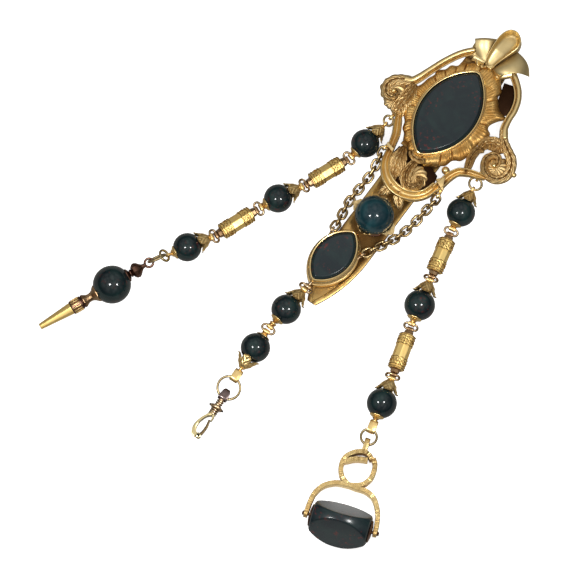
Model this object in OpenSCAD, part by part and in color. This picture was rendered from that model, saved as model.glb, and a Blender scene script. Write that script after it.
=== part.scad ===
/* [Main stone] */
// Length of the main stone
stone_l = 29; // [24:0.5:34]
// Width of the main stone
stone_w = 17.4; // [14:0.2:20]
// Thickness of the main stone
stone_h = 2.7; // [2:0.1:4]
// Width of the bezel round the main stone
bezel_t = 1.1; // [0.8:0.1:1.6]
// Width of the polished bevel of the flat stones
stone_bevel = 0.8; // [0.4:0.1:1.2]

/* [Brooch scrollwork] */
// How far the scrolls reach past each side of the main stone
scroll_out = 11.3; // [10:0.1:13]
// How far the scrolls and bow reach past each end of the main stone
scroll_over = 15.5; // [14:0.1:18]
// Thickness of the scroll rods
rod_d = 2; // [1.6:0.1:2.4]
// Height of the scrollwork above its base
relief_h = 2.2; // [1.8:0.1:3]
// Thickness of the base plate behind the main stone
base_t = 0.6; // [0.5:0.05:1]

/* [Belt hook] */
// Width of the hook plate
hook_w = 13.4; // [12:0.2:16]
// Thickness of the hook plate
hook_t = 1; // [0.8:0.1:1.4]
// Space for the belt
belt_gap = 4.8; // [4.4:0.1:7]
// Length of the hook plate's parallel part
hook_l = 69.5; // [66:0.5:80]
// Length of the hook plate's pointed end
hook_taper = 21; // [16:0.5:26]
// Width of the hook plate's blunt tip
hook_tip = 3; // [2:0.1:5]
// Length of the hook's upper plate behind the brooch
hook_top_l = 34; // [30:0.5:36]

/* [Boss] */
// Diameter of the bead on the hook plate
boss_d = 11.8; // [10:0.1:12.4]
// Height of the boss bead's underside above the hook plate
boss_up = 1.4; // [1:0.1:2]
// Thickness of the leaf claws
claw_t = 0.7; // [0.5:0.1:1]
// Distance from the brooch's outline to the boss bead
boss_gap = 4; // [3.6:0.1:6]

/* [Pendant] */
// Length of the pendant stone
pend_l = 18; // [15:0.5:19]
// Width of the pendant stone
pend_w = 10.4; // [9:0.2:11]
// Width of the pendant case's rim
case_t = 1.1; // [0.8:0.1:1.4]
// Height of the pendant case
case_h = 5; // [4.4:0.1:6]
// Thickness of the pendant stone
pend_h = 2.2; // [1.6:0.1:3]
// Distance from the boss bead to the pendant stone
pend_gap = 2.6; // [2.2:0.1:4]

/* [Chains] */
// Length of a chain link
chain_l = 4.1; // [3.9:0.05:4.4]
// Width of a chain link
chain_w = 3; // [2.8:0.05:3.2]
// Wire thickness of the chains
chain_wire = 0.68; // [0.5:0.02:0.72]

/* [Strands] */
// Diameter of a strand bead
bead_d = 8.9; // [8:0.1:9.6]
// Bore through the beads
bead_bore = 1.2; // [1.1:0.05:1.6]
// Radial clearance of a pin in its bead
pin_play = 0.1; // [0.05:0.01:0.15]
// Length of a barrel
barrel_l = 10.9; // [9:0.1:13]
// Width of a barrel across its flats
barrel_d = 4.6; // [4:0.1:5.4]
// Width of a barrel's engraved band
barrel_band = 2.3; // [1.6:0.1:3]
// Height of a barrel's axis above the floor
barrel_z = 3.65; // [3:0.05:4]
// Outer diameter of a knuckle
knuckle_d = 1.5; // [1.4:0.05:1.6]
// Length of a knuckle
knuckle_l = 2.1; // [1.6:0.1:2.3]
// Wire thickness of the strand links
link_wire = 0.6; // [0.5:0.02:0.64]
// Distance between the two bars of a strand link
link_pitch = 1.9; // [1.8:0.05:2.2]
// Straight length of a link's bar
link_bar = 2.4; // [2.4:0.05:2.8]
// Length of a leaf cap from the bead to its joint
cap_over = 3.85; // [3.6:0.05:4.4]
// Length of a cup from the bead to its joint
cup_over = 1.45; // [1.4:0.05:1.8]
// Radius of the left top ring, to the middle of its wire
left_ring_r = 1.6; // [1.5:0.05:2]
// Radius of the right top ring, to the middle of its wire
right_ring_r = 2; // [1.8:0.05:2.3]
// Radius of the ring under the left strand
key_ring1_r = 1.8; // [1.7:0.05:2]
// Radius of the ring that holds the watch key
key_ring2_r = 2.75; // [2.7:0.05:3]
// Radius of the ring that holds the seal
fob_ring_r = 2.5; // [2.4:0.05:2.8]
// Radius of the ring that holds the clip
clip_ring_r = 3.6; // [3.4:0.05:4]
// Wire thickness of the rings
ring_wire = 0.75; // [0.6:0.05:0.8]

/* [Watch key] */
// Diameter of the watch key's bead
key_bead_d = 11.9; // [10:0.1:12.4]
// Length of the key's pipe
pipe_l = 11.3; // [9:0.1:14]
// Width of the pipe at its collar
pipe_d = 3.5; // [3:0.1:4]
// Width of the pipe at its tip
pipe_tip = 1.9; // [1.8:0.1:2.4]
// Width of the square winding hole
key_square = 1.1; // [0.9:0.05:1.2]
// Depth of the square winding hole
key_depth = 4; // [2:0.5:6]

/* [Watch clip] */
// Thickness of the clip hook
clip_t = 2; // [1.8:0.1:2.4]
// Radius of the swivel pin
swivel_r = 0.45; // [0.4:0.01:0.5]
// Radial clearance of the swivel pin
swivel_play = 0.05; // [0.03:0.01:0.08]
// Radius of the gate's hinge pin
hinge_r = 0.27; // [0.24:0.01:0.3]
// Radial clearance of the gate's hinge pin
hinge_play = 0.05; // [0.03:0.01:0.06]

/* [Seal] */
// Half length of the seal stone
seal_half = 9.2; // [8:0.1:10]
// Radius of the seal stone's waist
seal_r = 7.4; // [7:0.1:8]
// Distance from the axle to each seal face
seal_face = 4.7; // [4.4:0.05:5]
// Radius of the seal's axle
axle_r = 0.5; // [0.45:0.01:0.6]
// Radial clearance of the axle in the frame
axle_play = 0.06; // [0.03:0.01:0.1]
// Thickness of the seal frame's band
band_t = 1.4; // [1.2:0.1:1.6]
// Depth of the seal frame's band
band_h = 2.6; // [2.2:0.1:3]

/* [Hidden] */
// Running gap between pieces that only touch
gap = 0.05;
BEAD = 0;
BARREL = 1;
// Ends of a fitting
KNUCKLE = 0;
EYE = 1;
STRAP = 2;

// Heights of the brooch's layers
hook_top_t = 0.8 * hook_t;
brooch_z = hook_t + belt_gap + hook_top_t + gap;
stone_z = brooch_z + base_t + gap;
bezel_top = stone_z + stone_h - stone_bevel / 2;
// Outline sizes that the scrollwork's tables are shares of
scroll_w = stone_w + 2 * scroll_out;
scroll_l = stone_l + 2 * scroll_over;
// Places on the hook plate
hook_bend_y = 18;
hook_end_y = hook_bend_y - hook_l;
boss_at = [0.54, -scroll_l / 2 - boss_gap - boss_d / 2];
pend_at = [-2.41, boss_at.y - boss_d / 2 - pend_gap - pend_l / 2];
pend_turn = -5;
boss_z = hook_t + boss_up + boss_d / 2;
pend_z = hook_t + 0.15;
// Eyes of the pendant, where the chains end: beside the case's edge, and their height
eye_out = 2;
pend_eye_y = 0.367 * pend_l;
pend_eye_x = oval_edge_x(pend_l, pend_w, case_t, pend_eye_y) + eye_out;
pend_eye_z = pend_z + 0.45 * case_h;
function pend_eye_at(s) = [pend_at.x + s * pend_eye_x * cos(pend_turn) - pend_eye_y * sin(pend_turn),
    pend_at.y + s * pend_eye_x * sin(pend_turn) + pend_eye_y * cos(pend_turn), pend_eye_z];

// Scrollwork, each row a section: x and y as shares of scroll_w and scroll_l, z as a share of relief_h,
// half width and height as shares of rod_d
LEFT_ROD = [[-0.12, 0.36, 0.5, 0.5, 1], [-0.2, 0.3, 0.5, 0.5, 1], [-0.265, 0.22, 0.5, 0.5, 1],
    [-0.315, 0.135, 0.5, 0.5, 1], [-0.35, 0.07, 0.5, 0.55, 1], [-0.385, 0.03, 0.4, 0.6, 1],
    [-0.44, 0.012, 0.4, 0.7, 1], [-0.5, -0.02, 0.4, 0.7, 1.1], [-0.52, -0.065, 0.4, 0.65, 1.1],
    [-0.48, -0.105, 0.5, 0.5, 1.1], [-0.425, -0.1, 0.6, 0.4, 1], [-0.42, -0.065, 0.7, 0.3, 0.9],
    [-0.45, -0.06, 0.8, 0.2, 0.7]];
LEFT_LEAF = [[-0.36, 0.03, 0.2, 0.4, 0.9], [-0.355, -0.04, 0.2, 0.7, 1.2], [-0.365, -0.1, 0.2, 0.75, 1.2],
    [-0.345, -0.15, 0.1, 0.6, 1.1], [-0.345, -0.172, 0, 0.3, 0.8]];
LEFT_BAND = [[-0.3, -0.165, 0, 0.5, 1.2], [-0.275, -0.195, 0, 0.6, 1.2], [-0.235, -0.245, 0, 0.6, 1.2],
    [-0.215, -0.29, 0, 0.55, 1.2], [-0.195, -0.335, 0, 0.5, 1.1]];
C_SCROLL = [[-0.2, -0.315, 0, 0.35, 1.2], [-0.185, -0.37, 0, 0.4, 1.2], [-0.155, -0.415, 0, 0.5, 1.2],
    [-0.1, -0.455, 0, 0.55, 1.2], [-0.03, -0.48, 0, 0.6, 1.2], [0.04, -0.487, 0, 0.6, 1.2],
    [0.105, -0.482, 0, 0.55, 1.2], [0.175, -0.46, 0, 0.55, 1.2], [0.225, -0.425, 0, 0.5, 1.2],
    [0.25, -0.385, 0, 0.5, 1.2], [0.265, -0.345, 0, 0.5, 1.2]];
LEAF_A = [[-0.125, -0.275, 0.3, 0.3, 0.9], [-0.11, -0.315, 0.35, 0.8, 1.1], [-0.095, -0.355, 0.4, 1.1, 1.2],
    [-0.075, -0.4, 0.3, 1, 1.1], [-0.055, -0.44, 0.2, 0.55, 0.9], [-0.035, -0.47, 0.1, 0.15, 0.6]];
LEAF_B = [[0.02, -0.3, 0.3, 0.35, 0.9], [0.01, -0.345, 0.3, 0.6, 1.1], [0.02, -0.395, 0.35, 0.7, 1.2],
    [0.055, -0.43, 0.4, 0.65, 1.2], [0.11, -0.44, 0.4, 0.55, 1.1], [0.15, -0.41, 0.4, 0.5, 1],
    [0.14, -0.375, 0.5, 0.4, 0.8], [0.1, -0.37, 0.6, 0.2, 0.6]];
TIE = [[-0.06, -0.275, 0.5, 0.3, 0.9], [-0.02, -0.297, 0.7, 0.35, 0.9], [0.03, -0.297, 0.7, 0.35, 0.9],
    [0.08, -0.275, 0.5, 0.3, 0.9]];
S_SCROLL = [[0.265, -0.375, 0, 0.5, 1.1], [0.285, -0.33, 0, 0.55, 1.2], [0.3, -0.275, 0, 0.55, 1.2],
    [0.33, -0.228, 0, 0.5, 1.2], [0.375, -0.205, 0, 0.5, 1.2], [0.43, -0.19, 0.25, 0.45, 1.1],
    [0.485, -0.18, 0.42, 0.4, 1], [0.54, -0.17, 0.45, 0.25, 0.8]];
// Two leaf lobes under the C scroll, beside the boss
LOBE_LEFT = [[-0.02, -0.475, 0, 0.6, 0.9], [-0.035, -0.51, 0, 0.75, 0.9], [-0.05, -0.54, 0, 0.55, 0.8],
    [-0.06, -0.56, 0, 0.15, 0.5]];
LOBE_RIGHT = [[0.05, -0.485, 0, 0.6, 0.9], [0.085, -0.52, 0, 0.75, 0.9], [0.12, -0.545, 0, 0.55, 0.8],
    [0.145, -0.56, 0, 0.15, 0.5]];
BLADE = [[0.385, -0.21, 0.2, 0.25, 0.8], [0.37, -0.165, 0.3, 0.5, 1.1], [0.35, -0.115, 0.3, 0.55, 1.2],
    [0.355, -0.07, 0.3, 0.5, 1.1], [0.4, -0.05, 0.4, 0.3, 0.8]];
RIGHT_ROD = [[0.21, 0.372, 0.5, 0.5, 1], [0.27, 0.345, 0.5, 0.5, 1], [0.33, 0.31, 0.5, 0.5, 1],
    [0.375, 0.265, 0.5, 0.5, 1], [0.4, 0.21, 0.5, 0.5, 1], [0.407, 0.155, 0.5, 0.5, 1],
    [0.425, 0.1, 0.5, 0.55, 1], [0.475, 0.052, 0.4, 0.6, 1.1], [0.545, 0.02, 0.4, 0.65, 1.1],
    [0.61, -0.008, 0.4, 0.7, 1.1], [0.65, -0.05, 0.3, 0.7, 1.1], [0.655, -0.1, 0.3, 0.65, 1.1],
    [0.615, -0.14, 0.3, 0.6, 1.1], [0.55, -0.15, 0.3, 0.6, 1.1], [0.485, -0.13, 0.3, 0.55, 1.1],
    [0.45, -0.085, 0.4, 0.5, 1.1], [0.475, -0.045, 0.5, 0.45, 1], [0.525, -0.04, 0.6, 0.4, 0.9],
    [0.55, -0.075, 0.7, 0.3, 0.8], [0.53, -0.09, 0.8, 0.2, 0.6]];
VOLUTE_LEAF = [[0.365, -0.06, 0.4, 0.3, 0.9], [0.375, -0.02, 0.4, 0.55, 1.1], [0.42, 0.005, 0.4, 0.65, 1.2],
    [0.48, 0.005, 0.4, 0.6, 1.1], [0.52, -0.015, 0.4, 0.35, 0.8]];
// Bow, with the same columns
BOW_LEFT = [[-0.01, 0.3, 0.4, 0.8, 1.2], [-0.045, 0.34, 0.6, 0.95, 1.6], [-0.075, 0.385, 0.9, 1.15, 1.9],
    [-0.105, 0.43, 0.8, 1.4, 1.7]];
BOW_RIGHT = [[0.08, 0.295, 0.4, 0.8, 1.2], [0.135, 0.335, 0.6, 1, 1.6], [0.185, 0.38, 0.9, 1.3, 1.9],
    [0.235, 0.43, 0.8, 1.6, 1.7]];
BOW_LOOP = [[0.025, 0.32, 0.7, 0.55, 1.4], [0.03, 0.36, 1, 1.05, 1.9], [0.045, 0.41, 1.3, 1.5, 2.2],
    [0.06, 0.46, 1.4, 1.7, 2.2], [0.07, 0.505, 1.2, 1.4, 1.9], [0.075, 0.532, 1, 0.7, 1.3]];
BOW_WRAP = [[-0.07, 0.325, 0.7, 0.45, 1.2], [0.02, 0.308, 1.2, 0.5, 1.3], [0.11, 0.31, 0.7, 0.45, 1.2]];
// Round buttons: x and y shares, z share of relief_h, diameter as a share of rod_d
BUTTONS = [[-0.452, -0.07, 1.1, 0.8], [0.535, -0.09, 1.1, 0.9], [0.7, -0.066, 0.6, 0.85], [0.25, -0.255, 0.7, 1.3]];
// Leaf border round the bezel: x and y as shares of stone_w and stone_l
BORDER = [[0.12, 0.715], [0.25, 0.705], [0.38, 0.64], [0.44, 0.6], [0.53, 0.53], [0.53, 0.47], [0.6, 0.42],
    [0.71, 0.355], [0.89, 0.325], [0.79, 0.25], [0.72, 0.17], [0.73, 0.12], [0.82, 0.08], [0.82, -0.02],
    [0.75, -0.11], [0.77, -0.21], [0.735, -0.265], [0.68, -0.34], [0.6, -0.37], [0.55, -0.4], [0.51, -0.48],
    [0.42, -0.52], [0.32, -0.57], [0.2, -0.62], [0.1, -0.6], [0, -0.63], [-0.1, -0.585], [-0.2, -0.58],
    [-0.27, -0.53], [-0.37, -0.52], [-0.44, -0.45], [-0.52, -0.41], [-0.56, -0.34], [-0.62, -0.3],
    [-0.69, -0.235], [-0.71, -0.15], [-0.76, -0.09], [-0.73, -0.02], [-0.77, 0.04], [-0.72, 0.11],
    [-0.69, 0.2], [-0.64, 0.27], [-0.65, 0.33], [-0.54, 0.39], [-0.5, 0.46], [-0.4, 0.5], [-0.37, 0.57],
    [-0.25, 0.61], [-0.12, 0.66], [0, 0.65]];

// Cross-sections: across as a share of the half width, up as a share of the height
ROD = [for (i = [0:7]) [cos(45 * i + 22.5 - 180), 0.5 + 0.5 * sin(45 * i + 22.5 - 180)]];
TROUGH = [[-1, 0], [1, 0], [1, 0.95], [0.75, 1], [0.5, 0.6], [0, 0.45], [-0.5, 0.6], [-0.75, 1], [-1, 0.95]];
LEAF = [[-1, 0], [1, 0], [1, 0.4], [0.55, 0.85], [0.14, 0.65], [0, 1], [-0.14, 0.65], [-0.55, 0.85], [-1, 0.4]];

// Chains, chosen points from the brooch's lug over the floor or the hook plate to the pendant's eye
left_eye = [-0.2475 * scroll_w, -0.3317 * scroll_l, brooch_z - 0.35];
right_eye = [0.319 * scroll_w, -0.381 * scroll_l, brooch_z + 0.35];
LEFT_ROUTE = concat([left_eye], [[-9.9, -22.5, 4.7], [-9.3, -25.5, 2.8], [-9, -29.2, 1.8], [-9.2, -33, 1.65],
    [-9.4, -37, 1.65], [-9.5, -39.8, 1.65], [-8.9, -43.5, 1.8], [-8.1, -47, 2.6]], [pend_eye_at(-1)]);
RIGHT_ROUTE = concat([right_eye], [[12.6, -25.2, 5], [11.8, -28, 2.9], [11.3, -31.5, 1.8], [10.9, -35, 1.65],
    [10, -38.6, 1.65], [8.9, -42, 2.1], [7.4, -45.2, 2.9], [5.9, -48.2, 3.2]], [pend_eye_at(1)]);

// Strands, from the brooch outwards: kind, heading, size share, over-length before, over-length after
LEFT_UNITS = [[BEAD, -100.6, 1, cap_over + 0.4, cup_over], [BARREL, -111.8, 1, 0, 0],
    [BEAD, -116.4, 1, cap_over, cup_over], [BARREL, -111.1, 1, 0, 0],
    [BEAD, -120.7, 1, cap_over, cup_over + 0.5]];
RIGHT_UNITS = [[BEAD, -81, 1, cap_over, cup_over], [BARREL, -76.5, 1, 0, 0],
    [BEAD, -76, 1.08, cap_over, cup_over + 0.3], [BARREL, -73.5, 1.06, 0, 0],
    [BEAD, -75.2, 1.055, cap_over, cup_over + 2.9]];
CENTRE_UNITS = [[BEAD, -95.4, 1.04, cap_over, cup_over + 1.4],
    [BEAD, -87.4, 1.03, cup_over + 0.2, cap_over + 3.2]];

// Where each strand's top ring hangs from the brooch, and how the ring lies
ring_tilt = -35;
left_lug = [-0.346 * scroll_w, -0.183 * scroll_l, brooch_z + 0.35];
right_lug = [0.484 * scroll_w, -0.186 * scroll_l, brooch_z + 0.2];

// A unit vector at a heading in the plan and a tilt above it
function way(heading, tilt = 0) = [cos(tilt) * cos(heading), cos(tilt) * sin(heading), sin(tilt)];
// Half of a unit's length before and after its centre
function before(u) = u[0] == BARREL ? u[2] * barrel_l / 2 + barrel_end : u[2] * bead_d / 2 + u[3];
function after(u) = u[0] == BARREL ? u[2] * barrel_l / 2 + barrel_end : u[2] * bead_d / 2 + u[4];
function unit_z(u) = u[0] == BARREL ? barrel_z : u[2] * bead_d / 2;
// Tilt of a unit whose near joint is at height z, if it isn't the strand's first unit it lies level
function unit_tilt(u, i, z) = i > 0 ? 0 : asin((unit_z(u) - z) / before(u));
// Near joint of unit i, far joint of unit i, and the link between units i - 1 and i
function near(units, i, start) = i == 0 ? start : let(link = link_at(units, i, start))
    link[0] + link_pitch * way(link[1], link[2]);
function far(units, i, start) = let(a = near(units, i, start), u = units[i])
    a + (before(u) + after(u)) * way(u[1], unit_tilt(u, i, a.z));
function link_at(units, i, start) = let(a = far(units, i - 1, start), rise = unit_z(units[i]) - a.z)
    [a, (units[i - 1][1] + units[i][1]) / 2, asin(rise / link_pitch)];
function centre(units, i, start) = let(a = near(units, i, start), u = units[i])
    a + before(u) * way(u[1], unit_tilt(u, i, a.z));
barrel_end = knuckle_d / 2 + 1.15;

left_start = left_lug + 2 * left_ring_r * way(LEFT_UNITS[0][1], ring_tilt);
right_start = right_lug + 2 * right_ring_r * way(RIGHT_UNITS[0][1], ring_tilt);
// Pendant's lug and the link that hangs from it
pend_lug = pend_l / 2 + case_t + 0.4 + knuckle_d / 2 + 1;
pend_lug_z = pend_z + case_h / 2;
pend_down = pend_turn - 90;
pend_joint = [pend_at.x, pend_at.y, pend_lug_z] + pend_lug * way(pend_down);
centre_rise = unit_z(CENTRE_UNITS[0]) - pend_lug_z;
centre_start = pend_joint + link_pitch * way(pend_down, asin(centre_rise / link_pitch));

// Smooth curve through rows of any columns, with n steps between two rows
function blend(a, b, c, d, t) = ((2 * b) + (c - a) * t + (2 * a - 5 * b + 4 * c - d) * t * t
    + (3 * b - a - 3 * c + d) * t * t * t) / 2;
function curve(rows, n) = let(last = len(rows) - 1) [for (i = [0:last - 1]) for (k = [0:n - 1])
    blend(rows[max(i - 1, 0)], rows[i], rows[i + 1], rows[min(i + 2, last)], k / n), rows[last]];

// Solid swept along rows of x, y, z, half width and height, its section upright
module sweep(rows, section, closed = false) {
    n = len(rows);
    m = len(section);
    points = [for (i = [0:n - 1]) let(p = rows[closed ? (i + n - 1) % n : max(i - 1, 0)],
        q = rows[closed ? (i + 1) % n : min(i + 1, n - 1)], a = atan2(q.y - p.y, q.x - p.x), r = rows[i])
        for (s = section) [r.x - sin(a) * s.x * r[3], r.y + cos(a) * s.x * r[3], r.z + s.y * r[4]]];
    sides = [for (i = [0:n - (closed ? 1 : 2)]) for (j = [0:m - 1]) let(a = i * m + j,
        b = i * m + (j + 1) % m, c = ((i + 1) % n) * m + (j + 1) % m, d = ((i + 1) % n) * m + j)
        for (f = [[a, d, c], [a, c, b]]) f];
    ends = closed ? [] : [[for (j = [0:m - 1]) j], [for (j = [m - 1:-1:0]) (n - 1) * m + j]];
    polyhedron(points, concat(sides, ends));
}
// Row of a scroll table in millimetres
function scroll_row(r) = [r[0] * scroll_w, r[1] * scroll_l, brooch_z + r[2] * relief_h, r[3] * rod_d, r[4] * rod_d];
module scroll(rows, section, n = 2) {
    sweep(curve([for (r = rows) scroll_row(r)], n), section);
}

// Pointed oval, its long axis along Y: two arcs of one radius, moved out by grow
function oval_r(l, w) = (l * l + w * w) / (4 * w);
module oval(l, w, h, grow = 0, taper = 0) {
    r = oval_r(l, w);
    intersection() {
        translate([r - w / 2, 0, 0]) cylinder(h = h, r1 = r + grow, r2 = r + grow - taper, $fn = 96);
        translate([w / 2 - r, 0, 0]) cylinder(h = h, r1 = r + grow, r2 = r + grow - taper, $fn = 96);
    }
}
// Half width of the pointed oval at a height y, moved out by grow
function oval_edge_x(l, w, grow, y) = let(r = oval_r(l, w)) sqrt(pow(r + grow, 2) - y * y) - (r - w / 2);
// Distance from the centre to the pointed oval's edge in one direction
function oval_edge(l, w, grow, a) = let(r = oval_r(l, w), c = r - w / 2)
    sqrt((r + grow) * (r + grow) - c * c * sin(a) * sin(a)) - c * abs(cos(a));

module at(p, heading = 0, tilt = 0) translate(p) rotate([0, -tilt, heading]) children();
module ring(r, wire) rotate_extrude($fn = 48) translate([r, 0]) circle(d = wire, $fn = 24);
// Eye in the XZ plane, with its hole along Y
module eye(outer, hole, t, sides = 32) rotate([90, 0, 0]) difference() {
    cylinder(d = outer, h = t, center = true, $fn = sides);
    cylinder(d = hole, h = t + 1, center = true, $fn = sides);
}

// Brooch
module border() {
    // Rows of the section: share of the way out, and height above the base
    section = [[0, 0], [0, 1.9], [0.3, 1.75], [0.5, 1.95], [0.85, 1.1], [1, 0.6], [1, 0]];
    edge = [for (i = [0:len(BORDER) - 1]) for (k = [0:1]) let(n = len(BORDER), a = BORDER[(i + n - 1) % n],
        b = BORDER[i], c = BORDER[(i + 1) % n], d = BORDER[(i + 2) % n], p = blend(a, b, c, d, k / 2))
        [p.x * stone_w, p.y * stone_l]];
    n = len(edge);
    m = len(section);
    points = [for (p = edge) let(a = atan2(p.y, p.x), e = norm(p),
        inner = oval_edge(stone_l, stone_w, bezel_t - 0.3, a))
        for (s = section) let(d = inner + s.x * (e - inner))
        [d * cos(a), d * sin(a), brooch_z + s.y * relief_h / 2.2]];
    polyhedron(points, [for (i = [0:n - 1]) for (j = [0:m - 1]) let(a = i * m + j, b = i * m + (j + 1) % m,
        c = ((i + 1) % n) * m + (j + 1) % m, d = ((i + 1) % n) * m + j) for (f = [[a, b, c], [a, c, d]]) f]);
}
module bezel() {
    difference() {
        union() {
            translate([0, 0, brooch_z]) oval(stone_l, stone_w, bezel_top - 0.5 - brooch_z, bezel_t);
            translate([0, 0, brooch_z]) oval(stone_l, stone_w, bezel_top - brooch_z, bezel_t * 0.55);
        }
        translate([0, 0, stone_z - gap]) oval(stone_l, stone_w, stone_h + 1, gap);
    }
}
// Eye in an upright plate whose foot reaches back into the scrollwork
module lug(p, heading, reach) at(p, heading) difference() {
    hull() {
        rotate([90, 0, 0]) cylinder(d = 2.3, h = 0.8, center = true, $fn = 16);
        translate([-reach, 0, 0.3]) cube([1, 0.8, 1.3], center = true);
    }
    rotate([90, 0, 0]) cylinder(d = 1.3, h = 2, center = true, $fn = 12);
}
module button(d) hull() {
    sphere(d = d, $fn = 16);
    translate([0, 0, -d / 2]) cylinder(d = d * 0.8, h = 0.1, $fn = 16);
}
module brooch() color("goldenrod") {
    bezel();
    border();
    scroll(LEFT_ROD, TROUGH);
    scroll(LEFT_LEAF, LEAF);
    scroll(LEFT_BAND, TROUGH);
    scroll(C_SCROLL, TROUGH);
    scroll(LEAF_A, LEAF);
    scroll(LEAF_B, LEAF);
    scroll(TIE, LEAF);
    scroll(S_SCROLL, TROUGH);
    scroll(LOBE_LEFT, LEAF);
    scroll(LOBE_RIGHT, LEAF);
    scroll(BLADE, LEAF);
    scroll(RIGHT_ROD, ROD);
    scroll(VOLUTE_LEAF, LEAF);
    scroll(BOW_LEFT, TROUGH);
    scroll(BOW_RIGHT, TROUGH);
    scroll(BOW_LOOP, TROUGH);
    scroll(BOW_WRAP, ROD);
    for (b = BUTTONS) translate([b.x * scroll_w, b.y * scroll_l, brooch_z + b.z * relief_h]) button(b[3] * rod_d);
    lug(left_lug, LEFT_UNITS[0][1], 2);
    lug(right_lug, RIGHT_UNITS[0][1], 2);
    lug(left_eye, -100, 2.6);
    lug(right_eye, -84, 3.2);
}
module main_stone() color("darkslategray") translate([0, 0, stone_z]) {
    oval(stone_l, stone_w, stone_h - stone_bevel);
    translate([0, 0, stone_h - stone_bevel]) oval(stone_l, stone_w, stone_bevel, 0, stone_bevel);
}

// Belt hook: pointed lower plate, bend and upper plate
module belt_hook() color("darkgoldenrod") {
    bend_r = (hook_t + belt_gap + hook_top_t) / 2;
    // Each side of the point is an arc that leaves the parallel edge smoothly
    side = (hook_w - hook_tip) / 2;
    arc_r = (hook_taper * hook_taper + side * side) / (2 * side);
    arc = [for (i = [0:6]) let(a = asin(hook_taper / arc_r) * i / 6)
        [hook_w / 2 - arc_r * (1 - cos(a)), hook_end_y - arc_r * sin(a)]];
    linear_extrude(hook_t) polygon(concat([[-hook_w / 2, hook_bend_y], [hook_w / 2, hook_bend_y]], arc,
        [for (i = [6:-1:0]) [-arc[i].x, arc[i].y]]));
    translate([-hook_w / 2, hook_bend_y, 0]) rotate([90, 0, 90]) linear_extrude(hook_w) intersection() {
        difference() {
            translate([0, bend_r]) circle(bend_r, $fn = 64);
            translate([0, hook_t + belt_gap / 2]) circle(belt_gap / 2, $fn = 64);
        }
        translate([0, -1]) square(2 * bend_r + 2);
    }
    translate([-hook_w / 2, hook_bend_y - hook_top_l, hook_t + belt_gap]) cube([hook_w, hook_top_l, hook_top_t]);
}

// Boss: base cup and four leaf claws
module boss_setting() color("goldenrod") translate([boss_at.x, boss_at.y, 0]) {
    r = boss_d / 2;
    difference() {
        union() {
            translate([0, 0, hook_t + gap]) cylinder(r = r * 0.95, h = 0.6, $fn = 48);
            translate([0, 0, hook_t + gap]) cylinder(r = r * 0.7, h = boss_up + 1.3, $fn = 48);
            for (a = [0:90:270]) rotate([0, 0, a]) boss_claw();
        }
        translate([0, 0, boss_z]) sphere(r + gap, $fn = 64);
    }
}
module boss_claw() {
    // Leaf outline on the bead's side: height share of the bead, half width share
    leaf = [[0, 0.5], [0.45, 0.42], [0.62, 0.3], [0.8, 0.06]];
    intersection() {
        translate([0, 0, boss_z]) sphere(boss_d / 2 + claw_t, $fn = 64);
        rotate([90, 0, 90]) linear_extrude(boss_d) polygon(concat(
            [for (p = leaf) [p.y * boss_d / 2, hook_t + 0.4 + p.x * boss_d]],
            [for (i = [3:-1:0]) [-leaf[i].y * boss_d / 2, hook_t + 0.4 + leaf[i].x * boss_d]]));
        translate([boss_d * 0.3, -boss_d, 0]) cube([boss_d, 2 * boss_d, 2 * boss_d]);
    }
}
module boss_bead() color("darkslategray") translate([boss_at.x, boss_at.y, boss_z])
    sphere(d = boss_d, $fn = 64);

// Pendant
module pendant_case() color("goldenrod") at([pend_at.x, pend_at.y, 0], pend_turn) {
    rim_z = pend_z + case_h;
    difference() {
        union() {
            translate([0, 0, pend_z]) oval(pend_l, pend_w, case_h * 0.4, case_t + 0.4);
            translate([0, 0, pend_z]) oval(pend_l, pend_w, case_h * 0.75, case_t);
            translate([0, 0, pend_z]) oval(pend_l, pend_w, case_h, case_t * 0.6);
        }
        translate([0, 0, rim_z - pend_h + 0.2]) oval(pend_l, pend_w, pend_h + 1, gap);
    }
    // Lug for the strand below
    difference() {
        translate([0, -pend_lug, pend_lug_z]) rotate([0, 0, -90]) knuckle_body(1.6);
        translate([0, -pend_lug, pend_lug_z]) rotate([0, 90, 0]) cylinder(d = knuckle_hole, h = 4, center = true, $fn = 32);
    }
    // Eyes for the chains
    for (s = [-1, 1]) translate([s * pend_eye_x, pend_eye_y, pend_eye_z]) rotate([0, 0, 90 - s * 12]) {
        eye(2.3, 1.5, 0.7);
        translate([-2.4, 0, 0]) cube([3.2, 0.7, 1.1], center = true);
    }
}
module pendant_stone() color("darkslategray")
    at([pend_at.x, pend_at.y, pend_z + case_h + 0.2 - pend_h + gap], pend_turn) {
        oval(pend_l, pend_w, pend_h - 0.6);
        translate([0, 0, pend_h - 0.6]) oval(pend_l, pend_w, 0.6, 0, 0.8);
    }

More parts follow.
